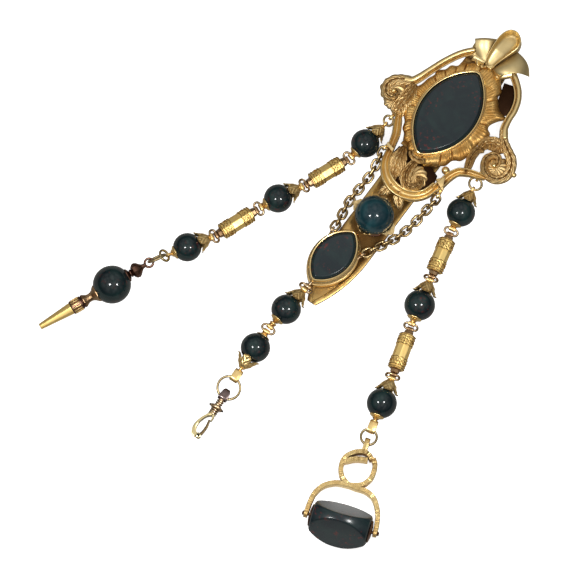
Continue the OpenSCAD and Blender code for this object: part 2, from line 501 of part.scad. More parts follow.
// Chains of alternate flat and upright links
function sums(path) = [for (i = 0, s = 0; i < len(path);
    s = s + (i + 1 < len(path) ? norm(path[i + 1] - path[i]) : 0), i = i + 1) s];
function along(path, total, s) = let(i = max([for (k = [0:len(total) - 2]) if (total[k] <= max(s, 0)) k]))
    path[i] + (path[i + 1] - path[i]) * (s - total[i]) / (total[i + 1] - total[i]);
module chain_link() {
    bend = (chain_w - chain_wire) / 2;
    straight = (chain_l - chain_wire) / 2 - bend;
    rows = [for (s = [1, -1]) for (i = [0:5]) let(a = -90 + 36 * i)
        [s * (straight + bend * cos(a)), s * bend * sin(a), 0, chain_wire / 2, chain_wire / 2]];
    sweep(rows, [for (i = [0:5]) [cos(60 * i), sin(60 * i)]], true);
}
module chain(route) {
    path = curve(route, 6);
    total = sums(path);
    length = total[len(total) - 1];
    end = (chain_l - chain_wire) / 2;
    pitch = 0.6 * chain_l;
    // An odd number, so that both end links lie flat in their upright eyes
    count = 2 * ceil(((length - 2 * end) / pitch) / 2) + 1;
    for (i = [0:count - 1]) let(s = end + i * (length - 2 * end) / (count - 1),
        a = along(path, total, s - end), b = along(path, total, min(s + end, length - 0.001)), d = b - a)
        translate((a + b) / 2) rotate([i % 2 == 0 ? 0 : 90, -atan2(d.z, norm([d.x, d.y])), atan2(d.y, d.x)])
            chain_link();
}
module left_chain() color("darkgoldenrod") chain(LEFT_ROUTE);
module right_chain() color("darkgoldenrod") chain(RIGHT_ROUTE);

// Strand pieces, made along +X from the bead's or barrel's centre, +X away from the brooch
knuckle_hole = link_wire + 0.4;
ring_hole = ring_wire + 0.35;
eye_t = 0.7;
strap_w = 2.6;
strap_l = 4.3;
strap_t = 0.45;
// Bends of a ring inside its strap need this play past the wire
strap_play = 0.45;
module knuckle_body(neck) {
    rotate([90, 0, 0]) cylinder(d = knuckle_d, h = knuckle_l, center = true, $fn = 32);
    translate([-neck, 0, 0]) rotate([0, 90, 0]) cylinder(d = knuckle_d * 0.75, h = neck, $fn = 32);
}
module stadium(l, h, w) {
    rotate([90, 0, 0]) for (x = [h / 2, l - h / 2]) translate([x, 0, 0])
        cylinder(d = h, h = w, center = true, $fn = 32);
    translate([l / 2, 0, 0]) cube([l - h, w, h], center = true);
}
// Ends of a fitting at their reach along +X
module end_body(type, reach) translate([reach, 0, 0]) {
    if (type == KNUCKLE) rotate([90, 0, 0]) cylinder(d = knuckle_d, h = knuckle_l, center = true, $fn = 32);
    if (type == EYE) rotate([90, 0, 0]) cylinder(d = ring_hole + 0.8, h = eye_t, center = true, $fn = 32);
    if (type == STRAP) translate([ring_wire / 2 + strap_play + strap_t - strap_l, 0, 0])
        stadium(strap_l, ring_wire + 0.5 + 2 * strap_t, strap_w);
}
module end_cut(type, reach) translate([reach, 0, 0]) {
    if (type == KNUCKLE) rotate([90, 0, 0]) cylinder(d = knuckle_hole, h = knuckle_l + 1, center = true, $fn = 32);
    if (type == EYE) rotate([90, 0, 0]) cylinder(d = ring_hole, h = eye_t + 1, center = true, $fn = 32);
    if (type == STRAP) translate([ring_wire / 2 + strap_play + 2 * strap_t - strap_l, 0, 0])
        stadium(strap_l - 2 * strap_t, ring_wire + 0.5, strap_w + 1);
}
function neck_end(type, reach) = reach - (type == STRAP ? strap_l - strap_play - 1.7 * strap_t - ring_wire / 2 : 0.5);
// Leaf cap over a bead of radius r, along +Z
module leaf_cap(r) difference() {
    h = cap_over - 0.6;
    rotate_extrude($fn = 48) polygon([[0, r + gap], [0.2 * r, r + gap], [0.21 * r, r + 0.52 * h],
        [0.62 * r, 0.92 * r], [0.7 * r, 0.95 * r], [0.35 * r, r + 0.75 * h], [0.18 * r, r + h], [0, r + h]]);
    for (a = [45:90:315]) rotate([0, 0, a]) translate([0.24 * r, 0, 0]) rotate([90, 0, 90])
        linear_extrude(r) polygon([[0, r + 0.69 * h], [-0.11 * r, r + 0.23 * h], [-0.2 * r, 0.99 * r],
            [-0.5 * r, 0.72 * r], [0.5 * r, 0.72 * r], [0.2 * r, 0.99 * r], [0.11 * r, r + 0.23 * h]]);
}
module cup(r, over) {
    difference() {
        rotate_extrude($fn = 48) polygon([[0, 0.87 * r], [0.48 * r, 0.87 * r], [0.47 * r, 0.97 * r],
            [0.95, r + 0.52 * cup_over], [0, r + 0.52 * cup_over]]);
        sphere(r + gap, $fn = 64);
    }
    if (over > cup_over + 1) translate([0, 0, r + cup_over - 0.3]) cylinder(r = knuckle_d * 0.7, h = 0.9, $fn = 32);
}
// Pin through the bead with a leaf cap at one end and a cup at the other
module fitting(u, cap_first, first, last) {
    r = u[2] * bead_d / 2;
    color("goldenrod") difference() {
        union() {
            translate([-r - 0.5, 0, 0]) rotate([0, 90, 0]) cylinder(r = bead_bore / 2 - pin_play, h = 2 * r + 1, $fn = 32);
            rotate([0, cap_first ? -90 : 90, 0]) leaf_cap(r);
            rotate([0, cap_first ? 90 : -90, 0]) cup(r, cap_first ? u[4] : u[3]);
            for (e = [[180, first, before(u)], [0, last, after(u)]]) rotate([0, 0, e[0]]) {
                end_body(e[1], e[2]);
                translate([r + 0.3, 0, 0]) rotate([0, 90, 0])
                    cylinder(r = knuckle_d * 0.36, h = neck_end(e[1], e[2]) - r - 0.3, $fn = 32);
            }
        }
        for (e = [[180, first, before(u)], [0, last, after(u)]]) rotate([0, 0, e[0]]) end_cut(e[1], e[2]);
    }
}
module drilled_bead(d) color("darkslategray") rotate([0, 90, 0]) difference() {
    sphere(d = d, $fn = 64);
    cylinder(d = bead_bore, h = d + 1, center = true, $fn = 32);
}
module barrel(u) color("gold") {
    l = u[2] * barrel_l;
    across = 1 / cos(22.5);
    difference() {
        rotate([0, 90, 0]) {
            rotate([0, 0, 22.5]) cylinder(d = barrel_d * across, h = l, center = true, $fn = 8);
            for (s = [-1, 1]) translate([0, 0, s * (l / 2 - 1.3 - barrel_band / 2)]) rotate([0, 0, 22.5])
                cylinder(d = (barrel_d + 0.24) * across, h = barrel_band, center = true, $fn = 8);
            rotate([0, 0, 22.5]) cylinder(d = (barrel_d - 0.9) * across, h = l + 0.8, center = true, $fn = 8);
            cylinder(r = knuckle_d * 0.36, h = l + 2 * barrel_end - 0.6, center = true, $fn = 32);
            for (s = [-1, 1]) translate([0, 0, s * (l / 2 + barrel_end)]) rotate([90, 0, 0])
                cylinder(d = knuckle_d, h = knuckle_l, center = true, $fn = 32);
        }
        for (s = [-1, 1]) translate([s * (l / 2 + barrel_end), 0, 0]) rotate([90, 0, 0])
            cylinder(d = knuckle_hole, h = knuckle_l + 1, center = true, $fn = 32);
    }
}
// Link of two bars across the strand with round ends, from one bar to the other along +X
module strand_link() color("goldenrod") {
    for (x = [0, link_pitch]) translate([x, 0, 0]) rotate([90, 0, 0])
        cylinder(d = link_wire, h = link_bar, center = true, $fn = 24);
    for (s = [0, 180]) translate([link_pitch / 2, 0, 0]) rotate([0, 0, s]) translate([0, link_bar / 2, 0])
        rotate_extrude(angle = 180, $fn = 48) translate([link_pitch / 2, 0]) circle(d = link_wire, $fn = 24);
}
module unit_at(units, i, start) let(a = near(units, i, start), u = units[i])
    at(centre(units, i, start), u[1], unit_tilt(u, i, a.z)) children();
module link_between(units, i, start) let(link = link_at(units, i, start)) at(link[0], link[1], link[2]) strand_link();

// Left strand and the right strand: bead, barrel, bead, barrel, bead
module left_bead(i) unit_at(LEFT_UNITS, 2 * i - 2, left_start) drilled_bead(LEFT_UNITS[2 * i - 2][2] * bead_d);
module right_bead(i) unit_at(RIGHT_UNITS, 2 * i - 2, right_start) drilled_bead(RIGHT_UNITS[2 * i - 2][2] * bead_d);
module centre_bead(i) unit_at(CENTRE_UNITS, i - 1, centre_start) drilled_bead(CENTRE_UNITS[i - 1][2] * bead_d);
module left_fitting(i) unit_at(LEFT_UNITS, 2 * i - 2, left_start)
    fitting(LEFT_UNITS[2 * i - 2], true, i == 1 ? EYE : KNUCKLE, i == 3 ? EYE : KNUCKLE);
module right_fitting(i) unit_at(RIGHT_UNITS, 2 * i - 2, right_start)
    fitting(RIGHT_UNITS[2 * i - 2], true, i == 1 ? EYE : KNUCKLE, i == 3 ? STRAP : KNUCKLE);
module centre_fitting(i) unit_at(CENTRE_UNITS, i - 1, centre_start)
    fitting(CENTRE_UNITS[i - 1], i == 1, KNUCKLE, i == 2 ? STRAP : KNUCKLE);
module left_barrel(i) unit_at(LEFT_UNITS, 2 * i - 1, left_start) barrel(LEFT_UNITS[2 * i - 1]);
module right_barrel(i) unit_at(RIGHT_UNITS, 2 * i - 1, right_start) barrel(RIGHT_UNITS[2 * i - 1]);
module left_link(i) link_between(LEFT_UNITS, i, left_start);
module right_link(i) link_between(RIGHT_UNITS, i, right_start);
module centre_link(i) if (i == 1) at(pend_joint, pend_down, asin(centre_rise / link_pitch)) strand_link();
    else link_between(CENTRE_UNITS, 1, centre_start);
// Ring whose near side is at p and whose far side lies at a heading and tilt from it
module ring_from(p, heading, tilt, r) color("goldenrod") at(p + r * way(heading, tilt), heading, tilt) ring(r, ring_wire);
module left_top_ring() ring_from(left_lug, LEFT_UNITS[0][1], ring_tilt, left_ring_r);
module right_top_ring() ring_from(right_lug, RIGHT_UNITS[0][1], ring_tilt, right_ring_r);

// Rings and watch key under the left strand
key_turn = -115.3;
ring1_turn = -122;
ring1_tilt = 45;
left_end = far(LEFT_UNITS, 4, left_start);
ring1_far = left_end + 2 * key_ring1_r * way(ring1_turn, ring1_tilt);
key_r = key_bead_d / 2;
key_reach = key_r + 8.75;
key_tip = key_r + 8.65 + pipe_l;
key_tilt = -asin((key_r - pipe_tip / 2) / key_tip);
key_hang = key_r - key_reach * sin(key_tilt);
ring2_span = 2 * (key_ring2_r - ring_wire - 0.2);
ring2_turn = -105;
ring2_tilt = asin((key_hang - ring1_far.z) / ring2_span);
key_hook = ring1_far + ring2_span * way(ring2_turn, ring2_tilt);
key_at = key_hook + key_reach * way(key_turn, key_tilt);
module key_ring(i) color("goldenrod") if (i == 1) ring_from(left_end, ring1_turn, ring1_tilt, key_ring1_r);
    else at(ring1_far + ring2_span / 2 * way(ring2_turn, ring2_tilt), ring2_turn, ring2_tilt)
        rotate([65, 0, 0]) ring(key_ring2_r, ring_wire);
module key_bead() at(key_at, key_turn, key_tilt) drilled_bead(key_bead_d);
module watch_key() at(key_at, key_turn, key_tilt) color("goldenrod") {
    pipe_x = key_tip - pipe_l;
    translate([-key_r - 0.5, 0, 0]) rotate([0, 90, 0]) cylinder(r = bead_bore / 2 - pin_play, h = 2 * key_r + 1, $fn = 32);
    // Loop, finial ball and collar above the bead
    difference() {
        rotate([0, -90, 0]) rotate_extrude($fn = 48) polygon([[0, key_r - 0.35], [0.35 * key_r, key_r - 0.35],
            [0.3 * key_r, key_r + 0.3], [0.9, key_r + 0.6], [1.3, key_r + 1.4], [2.2, key_r + 2.4],
            [2.2, key_r + 3.1], [1.2, key_r + 4.6], [0.75, key_r + 5.9], [0.75, key_r + 6.3], [0, key_r + 6.3]]);
        sphere(key_r + gap, $fn = 64);
    }
    translate([-key_reach + 1.35, 0, 0]) rotate([0, 0, 90]) ring(1.35, 0.8);
    // Cup, waist and ribbed collar below it, then the pipe
    difference() {
        rotate([0, 90, 0]) {
            rotate_extrude($fn = 48) polygon([[0, key_r * 0.88], [0.48 * key_r, key_r * 0.88],
                [0.4 * key_r, key_r + 0.4], [0.95, key_r + 1.4], [0.95, key_r + 2.6], [0.32 * key_r, key_r + 3.6],
                [2, key_r + 4.4], [0, key_r + 4.4]]);
            for (i = [0:3]) translate([0, 0, key_r + 4.5 + i * 1.15]) cylinder(r = 2.2, h = 0.8, $fn = 48);
            translate([0, 0, key_r + 4.3]) cylinder(r = 1.9, h = pipe_x - key_r - 4.3, $fn = 48);
            translate([0, 0, pipe_x - 0.3]) cylinder(r1 = pipe_d / 2, r2 = pipe_tip / 2, h = pipe_l + 0.3, $fn = 48);
        }
        rotate([0, 0, 90]) sphere(key_r + gap, $fn = 64);
        translate([key_tip - key_depth, -key_square / 2, -key_square / 2]) cube([key_depth + 1, key_square, key_square]);
    }
}

// Ring and swivel clip under the centre strand; the clip lies flat, its frame starts at the ring's centre
clip_turn = -86.9;
clip_z = 1.95;
clip_seat = 3.6;
clip_ring_near = far(CENTRE_UNITS, 1, centre_start);
clip_ring_tilt = asin((clip_z - clip_ring_near.z) / (2 * clip_ring_r));
clip_at = clip_ring_near + 2 * clip_ring_r * way(clip_turn, clip_ring_tilt) - clip_seat * way(clip_turn);
hinge_at = [18, 0.2];
// Sections of the hook arm and of the gate: x, y, half width
HOOK_ARM = [[9.9, -0.2, 0.75], [11.1, -1, 0.4], [12.6, -1.75, 0.42], [14.4, -2.25, 0.5], [16.3, -2.25, 0.62],
    [17.8, -1.55, 0.75], [18.25, -0.5, 0.75]];
GATE_ARM = [[17.9, 0.2, 0.5], [16.6, 0.7, 0.45], [14.4, 0.85, 0.42], [12.8, 0.6, 0.36], [11.9, 0.35, 0.28]];
module band(rows, n = 4) {
    c = curve(rows, n);
    last = len(c) - 1;
    side = [for (i = [0:last]) let(a = c[max(i - 1, 0)], b = c[min(i + 1, last)], t = atan2(b.y - a.y, b.x - a.x))
        [-sin(t), cos(t)] * c[i][2]];
    polygon(concat([for (i = [0:last]) [c[i].x, c[i].y] + side[i]], [for (i = [last:-1:0]) [c[i].x, c[i].y] - side[i]]));
}
module clip_ring() ring_from(clip_ring_near, clip_turn, clip_ring_tilt, clip_ring_r);
module clip_shackle() at(clip_at, clip_turn) color("goldenrod") {
    difference() {
        union() {
            translate([0.5, 0, 0]) stadium(4.1, ring_wire + 0.5 + 2 * strap_t, 2.4);
            translate([4.4, 0, 0]) rotate([0, 90, 0]) cylinder(r = 0.9, h = 2.4, $fn = 32);
        }
        translate([0.5 + strap_t, 0, 0]) stadium(4.1 - 2 * strap_t, ring_wire + 0.5, 4);
    }
    for (x = [5, 5.7, 6.4]) translate([x, 0, 0]) rotate([0, 90, 0]) cylinder(r = 1.15, h = 0.35, $fn = 32);
    translate([6.7, 0, 0]) rotate([0, 90, 0]) cylinder(r = swivel_r, h = 2.3, $fn = 32);
    translate([8.75, 0, 0]) rotate([0, 90, 0]) cylinder(r = swivel_r + 0.2, h = 0.4, $fn = 32);
}
module clip_hook() at(clip_at, clip_turn) color("goldenrod") difference() {
    union() {
        translate([6.95, 0, 0]) rotate([0, 90, 0]) cylinder(r = 1.85, h = 0.95, $fn = 48);
        translate([7.4, 0, 0]) rotate([90, 0, 0]) cylinder(r = 0.35, h = 5, center = true, $fn = 24);
        translate([7.8, 0, 0]) rotate([0, 90, 0]) cylinder(r = 1.1, h = 2.2, $fn = 32);
        for (x = [8.2, 8.9, 9.6]) translate([x, 0, 0]) rotate([0, 90, 0]) cylinder(r = 1.3, h = 0.35, $fn = 32);
        linear_extrude(clip_t, center = true) {
            band(HOOK_ARM);
            translate(hinge_at) circle(0.85, $fn = 32);
            polygon([[9.8, -0.6], [9.8, 1.1], [11, 1.15], [12.1, 1.1], [12.1, 0.8], [10.9, 0.6]]);
        }
    }
    rotate([0, 90, 0]) translate([0, 0, 6]) cylinder(r = swivel_r + swivel_play, h = 2.8, $fn = 32);
    rotate([0, 90, 0]) translate([0, 0, 8.6]) cylinder(r = swivel_r + 0.27, h = 0.7, $fn = 32);
    // Fork for the gate, with the hinge pin left standing in it
    difference() {
        translate([hinge_at.x, hinge_at.y, 0]) cylinder(r = 1.15, h = clip_t * 0.6, center = true, $fn = 48);
        translate([hinge_at.x, hinge_at.y, 0]) cylinder(r = hinge_r, h = clip_t, center = true, $fn = 32);
    }
}
module clip_gate() at(clip_at, clip_turn) color("goldenrod") difference() {
    union() {
        translate([hinge_at.x, hinge_at.y, 0]) cylinder(r = 0.75, h = clip_t * 0.55, center = true, $fn = 48);
        linear_extrude(clip_t * 0.55, center = true) band(GATE_ARM);
    }
    translate([hinge_at.x, hinge_at.y, 0]) cylinder(r = hinge_r + hinge_play, h = clip_t, center = true, $fn = 32);
}

// Ring and three-sided seal under the right strand; the seal's frame starts at the stone's centre,
// +X along its axle and +Y towards the loop
seal_turn = 19.4;
seal_tilt = -5;
cap_t = 0.8;
arm_x = seal_half + gap + cap_t + 0.4 + band_t / 2;
loop_l = 24.5;
bail_x = 0.3;
bail_y = loop_l + 2.7;
fob_near = far(RIGHT_UNITS, 4, right_start);
fob_turn = -74.2;
fob_tilt = asin((seal_face + bail_y * sin(seal_tilt) - fob_near.z) / (2 * fob_ring_r));
fob_far = fob_near + 2 * fob_ring_r * way(fob_turn, fob_tilt);
seal_at = fob_far - bail_x * way(seal_turn) - bail_y * way(seal_turn + 90, seal_tilt);
// Sections of the two S arms and of the small tongue: shares of arm_x and loop_l
LEFT_ARM = [[-1, 0], [-0.985, 0.15], [-0.93, 0.29], [-0.75, 0.42], [-0.43, 0.5], [-0.07, 0.515], [0.26, 0.57],
    [0.43, 0.68], [0.455, 0.8], [0.42, 0.885], [0.33, 0.945]];
RIGHT_ARM = [[1, 0], [0.965, 0.15], [0.89, 0.28], [0.68, 0.435], [0.39, 0.5], [0.09, 0.505], [-0.14, 0.525],
    [-0.36, 0.61], [-0.46, 0.735], [-0.42, 0.86], [-0.22, 0.955], [0.02, 0.995], [0.19, 0.975], [0.31, 0.92]];
TONGUE = [[-0.38, 0.8], [-0.2, 0.86], [-0.01, 0.89]];
module seal_place() translate(seal_at) rotate([0, 0, seal_turn]) rotate([seal_tilt, 0, 0]) children();
module seal_frame() seal_place() color("goldenrod") difference() {
    union() {
        for (rows = [LEFT_ARM, RIGHT_ARM, TONGUE]) linear_extrude(band_h, center = true)
            band([for (p = rows) [p.x * arm_x, p.y * loop_l, band_t / 2]], 3);
        for (s = [-1, 1]) translate([s * arm_x, 0, 0]) rotate([0, 90, 0])
            cylinder(d = band_h, h = band_t, center = true, $fn = 48);
        translate([bail_x, loop_l - 0.4, 0]) rotate([0, 0, 90]) stadium(5.2, ring_wire + 0.5 + 2 * strap_t, 1.6);
    }
    translate([bail_x, loop_l + 0.4, 0]) rotate([0, 0, 90]) stadium(5.2 - 0.8 - strap_t, ring_wire + 0.5, 4);
    rotate([0, 90, 0]) cylinder(r = axle_r + axle_play, h = 4 * arm_x, center = true, $fn = 32);
}
module seal_axle() seal_place() color("goldenrod") rotate([0, 90, 0]) {
    head_x = arm_x + band_t / 2 + 0.06;
    cylinder(r = axle_r, h = 2 * head_x + 1, center = true, $fn = 32);
    for (s = [-1, 1]) {
        translate([0, 0, s * (head_x + 0.3)]) cylinder(r = axle_r + 0.45, h = 0.6, center = true, $fn = 32);
        translate([0, 0, s * (seal_half + gap + cap_t / 2)]) cylinder(r = 0.74 * seal_face, h = cap_t, center = true, $fn = 48);
    }
}
module seal_stone() seal_place() color("darkslategray") rotate([-seal_tilt, 0, 0]) difference() {
    end_r = 0.72 * seal_r;
    intersection() {
        rotate([0, 90, 0]) rotate_extrude($fn = 64) polygon(concat([[0, -seal_half]],
            [for (i = [0:10]) let(t = -1 + i / 5) [seal_r - (seal_r - end_r) * t * t, t * seal_half]], [[0, seal_half]]));
        rotate([0, 90, 0]) rotate([0, 0, 180]) cylinder(r = 2 * seal_face, h = 2 * seal_half, center = true, $fn = 3);
    }
    rotate([0, 90, 0]) cylinder(r = axle_r + 0.04, h = 3 * seal_half, center = true, $fn = 32);
}

brooch();
main_stone();
belt_hook();
boss_setting();
boss_bead();
pendant_case();
pendant_stone();
left_chain();
right_chain();
left_top_ring();
right_top_ring();
for (i = [1:3]) {
    left_bead(i);
    left_fitting(i);
    right_bead(i);
    right_fitting(i);
}
for (i = [1:2]) {
    left_barrel(i);
    right_barrel(i);
    centre_bead(i);
    centre_fitting(i);
    centre_link(i);
    key_ring(i);
}
for (i = [1:4]) {
    left_link(i);
    right_link(i);
}
key_bead();
watch_key();
clip_ring();
clip_shackle();
clip_hook();
clip_gate();
ring_from(fob_near, fob_turn, fob_tilt, fob_ring_r);  // fob_ring
seal_frame();
seal_axle();
seal_stone();
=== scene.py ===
import math

import bpy
from mathutils import Matrix, Vector


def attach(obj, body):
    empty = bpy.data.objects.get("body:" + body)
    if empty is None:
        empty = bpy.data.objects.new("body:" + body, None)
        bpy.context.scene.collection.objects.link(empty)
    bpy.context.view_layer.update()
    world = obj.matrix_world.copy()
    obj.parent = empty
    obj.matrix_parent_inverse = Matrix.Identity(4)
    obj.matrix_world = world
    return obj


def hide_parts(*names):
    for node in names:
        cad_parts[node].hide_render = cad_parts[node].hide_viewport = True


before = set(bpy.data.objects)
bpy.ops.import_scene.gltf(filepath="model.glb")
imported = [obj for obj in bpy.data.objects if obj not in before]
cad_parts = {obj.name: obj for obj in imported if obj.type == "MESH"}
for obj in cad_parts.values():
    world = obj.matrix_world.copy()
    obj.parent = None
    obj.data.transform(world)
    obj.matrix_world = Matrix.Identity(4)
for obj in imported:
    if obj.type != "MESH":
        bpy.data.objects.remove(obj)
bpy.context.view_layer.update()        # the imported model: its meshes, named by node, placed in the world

# Pieces are shaped in millimetres and brought to metres when they are settled in the frame
MM = 0.001
MERGE_WITHIN = 0.0004

# Sizes of the CAD model, in millimetres
STONE_L, STONE_W, BEZEL_T = 29, 17.4, 1.1
ROD_D, RELIEF_H, BASE_T, GAP = 2, 2.2, 0.6, 0.05
SCROLL_W, SCROLL_L = STONE_W + 2 * 11.3, STONE_L + 2 * 15.5
HOOK_W, HOOK_T, BELT_GAP, HOOK_L, HOOK_TAPER, HOOK_TIP, HOOK_TOP_L = 13.4, 1, 4.8, 69.5, 21, 3, 34
HOOK_TOP_T = 0.8 * HOOK_T
HOOK_BEND_Y = 18
BROOCH_Z = HOOK_T + BELT_GAP + HOOK_TOP_T + GAP
STONE_Z = BROOCH_Z + BASE_T + GAP
BOSS_R = 5.9
BOSS_AT = Vector((0.54, -SCROLL_L / 2 - 4 - BOSS_R, HOOK_T + 1.4 + BOSS_R))
PEND_L, PEND_W, CASE_T, CASE_H, PEND_H, PEND_TURN = 18, 10.4, 1.1, 5, 2.2, -5
PEND_AT = Vector((-2.41, BOSS_AT.y - BOSS_R - 2.6 - PEND_L / 2, 0))
PEND_Z = HOOK_T + 0.15
CHAIN_L, CHAIN_W, CHAIN_WIRE = 4.1, 3, 0.68
BEAD_D, BEAD_BORE, PIN_R, PIN_OVER = 8.9, 1.2, 0.5, 0.5
BARREL_L, BARREL_D, BARREL_BAND, BARREL_Z = 10.9, 4.6, 2.3, 3.65
KNUCKLE_D, KNUCKLE_L, KNUCKLE_HOLE = 1.5, 2.1, 1
LINK_WIRE, LINK_PITCH, LINK_BAR = 0.6, 1.9, 2.4
CAP_OVER, CUP_OVER = 3.85, 1.45
RING_WIRE, RING_HOLE, EYE_T = 0.75, 1.1, 0.7
STRAP_W, STRAP_L, STRAP_T, STRAP_PLAY = 2.6, 4.3, 0.45, 0.45
STRAP_H = RING_WIRE + 0.5 + 2 * STRAP_T
LEFT_RING_R, RIGHT_RING_R, KEY_RING1_R, KEY_RING2_R, FOB_RING_R, CLIP_RING_R = 1.6, 2, 1.8, 2.75, 2.5, 3.6
KEY_R, PIPE_L, PIPE_TIP, KEY_SQUARE, KEY_DEPTH = 5.95, 11.3, 1.9, 1.1, 4
CLIP_T, HINGE_AT = 2, Vector((18, 0.2, 0))
SEAL_HALF, SEAL_R, SEAL_FACE, AXLE_R, BAND_T, BAND_H, CAP_T = 9.2, 7.4, 4.7, 0.5, 1.4, 2.6, 0.8
RING_TILT = -35

# Scrollwork, each row a section: shares of SCROLL_W, SCROLL_L, RELIEF_H, and half width and height of ROD_D
LEFT_ROD = [[-0.12, 0.36, 0.5, 0.5, 1], [-0.2, 0.3, 0.5, 0.5, 1], [-0.265, 0.22, 0.5, 0.5, 1],
    [-0.315, 0.135, 0.5, 0.5, 1], [-0.35, 0.07, 0.5, 0.55, 1], [-0.385, 0.03, 0.4, 0.6, 1],
    [-0.44, 0.012, 0.4, 0.7, 1], [-0.5, -0.02, 0.4, 0.7, 1.1], [-0.52, -0.065, 0.4, 0.65, 1.1],
    [-0.48, -0.105, 0.5, 0.5, 1.1], [-0.425, -0.1, 0.6, 0.4, 1], [-0.42, -0.065, 0.7, 0.3, 0.9],
    [-0.45, -0.06, 0.8, 0.2, 0.7]]
LEFT_LEAF = [[-0.345, 0.03, 0.2, 0.4, 0.9], [-0.34, -0.04, 0.2, 0.7, 1.2], [-0.35, -0.1, 0.2, 0.75, 1.2],
    [-0.33, -0.15, 0.1, 0.6, 1.1], [-0.33, -0.172, 0, 0.3, 0.8]]
LEFT_BAND = [[-0.335, -0.12, 0, 0.35, 1], [-0.32, -0.145, 0, 0.45, 1.1], [-0.3, -0.165, 0, 0.5, 1.2],
    [-0.275, -0.195, 0, 0.6, 1.2], [-0.235, -0.245, 0, 0.6, 1.2], [-0.215, -0.29, 0, 0.55, 1.2],
    [-0.195, -0.335, 0, 0.5, 1.1]]
C_SCROLL = [[-0.2, -0.315, 0, 0.35, 1.2], [-0.185, -0.37, 0, 0.4, 1.2], [-0.155, -0.415, 0, 0.5, 1.2],
    [-0.1, -0.455, 0, 0.55, 1.2], [-0.03, -0.48, 0, 0.6, 1.2], [0.04, -0.487, 0, 0.6, 1.2],
    [0.105, -0.482, 0, 0.55, 1.2], [0.175, -0.46, 0, 0.55, 1.2], [0.225, -0.425, 0, 0.5, 1.2],
    [0.25, -0.385, 0, 0.5, 1.2], [0.265, -0.345, 0, 0.5, 1.2]]
LEAF_A = [[-0.125, -0.275, 0.3, 0.3, 0.9], [-0.11, -0.315, 0.35, 0.8, 1.1], [-0.095, -0.355, 0.4, 1.1, 1.2],
    [-0.075, -0.4, 0.3, 1, 1.1], [-0.055, -0.44, 0.2, 0.55, 0.9], [-0.035, -0.47, 0.1, 0.15, 0.6]]
LEAF_B = [[0.02, -0.3, 0.3, 0.35, 0.9], [0.01, -0.345, 0.3, 0.6, 1.1], [0.02, -0.395, 0.35, 0.7, 1.2],
    [0.055, -0.43, 0.4, 0.65, 1.2], [0.11, -0.44, 0.4, 0.55, 1.1], [0.15, -0.41, 0.4, 0.5, 1],
    [0.14, -0.375, 0.5, 0.4, 0.8], [0.1, -0.37, 0.6, 0.2, 0.6]]
TIE = [[-0.06, -0.275, 0.5, 0.3, 0.9], [-0.02, -0.297, 0.7, 0.35, 0.9], [0.03, -0.297, 0.7, 0.35, 0.9],
    [0.08, -0.275, 0.5, 0.3, 0.9]]
S_SCROLL = [[0.265, -0.375, 0, 0.5, 1.1], [0.285, -0.33, 0, 0.55, 1.2], [0.3, -0.275, 0, 0.55, 1.2],
    [0.33, -0.228, 0, 0.5, 1.2], [0.375, -0.205, 0, 0.5, 1.2], [0.43, -0.19, 0.25, 0.45, 1.1],
    [0.485, -0.18, 0.42, 0.4, 1], [0.54, -0.17, 0.45, 0.25, 0.8]]
LOBE_LEFT = [[-0.02, -0.475, 0, 0.6, 0.9], [-0.035, -0.51, 0, 0.75, 0.9], [-0.05, -0.54, 0, 0.55, 0.8],
    [-0.06, -0.56, 0, 0.15, 0.5]]
LOBE_RIGHT = [[0.05, -0.485, 0, 0.6, 0.9], [0.085, -0.52, 0, 0.75, 0.9], [0.12, -0.545, 0, 0.55, 0.8],
    [0.145, -0.56, 0, 0.15, 0.5]]
BLADE = [[0.385, -0.21, 0.2, 0.25, 0.8], [0.37, -0.165, 0.3, 0.5, 1.1], [0.35, -0.115, 0.3, 0.55, 1.2],
    [0.355, -0.07, 0.3, 0.5, 1.1], [0.4, -0.05, 0.4, 0.3, 0.8]]
RIGHT_ROD = [[0.21, 0.372, 0.5, 0.5, 1], [0.27, 0.345, 0.5, 0.5, 1], [0.33, 0.31, 0.5, 0.5, 1],
    [0.375, 0.265, 0.5, 0.5, 1], [0.4, 0.21, 0.5, 0.5, 1], [0.407, 0.155, 0.5, 0.5, 1],
    [0.425, 0.1, 0.5, 0.55, 1], [0.475, 0.052, 0.4, 0.6, 1.1], [0.545, 0.02, 0.4, 0.65, 1.1],
    [0.61, -0.008, 0.4, 0.7, 1.1], [0.65, -0.05, 0.3, 0.7, 1.1], [0.655, -0.1, 0.3, 0.65, 1.1],
    [0.615, -0.14, 0.3, 0.6, 1.1], [0.55, -0.15, 0.3, 0.6, 1.1], [0.485, -0.13, 0.3, 0.55, 1.1],
    [0.45, -0.085, 0.4, 0.5, 1.1], [0.475, -0.045, 0.5, 0.45, 1], [0.525, -0.04, 0.6, 0.4, 0.9],
    [0.55, -0.075, 0.7, 0.3, 0.8], [0.53, -0.09, 0.8, 0.2, 0.6]]
VOLUTE_LEAF = [[0.365, -0.06, 0.4, 0.3, 0.9], [0.375, -0.02, 0.4, 0.55, 1.1], [0.42, 0.005, 0.4, 0.65, 1.2],
    [0.48, 0.005, 0.4, 0.6, 1.1], [0.52, -0.015, 0.4, 0.35, 0.8]]
BUTTONS = [[-0.452, -0.07, 1.1, 0.8], [0.535, -0.09, 1.1, 0.9], [0.7, -0.066, 0.6, 0.85],
    [0.25, -0.255, 0.7, 1.3]]
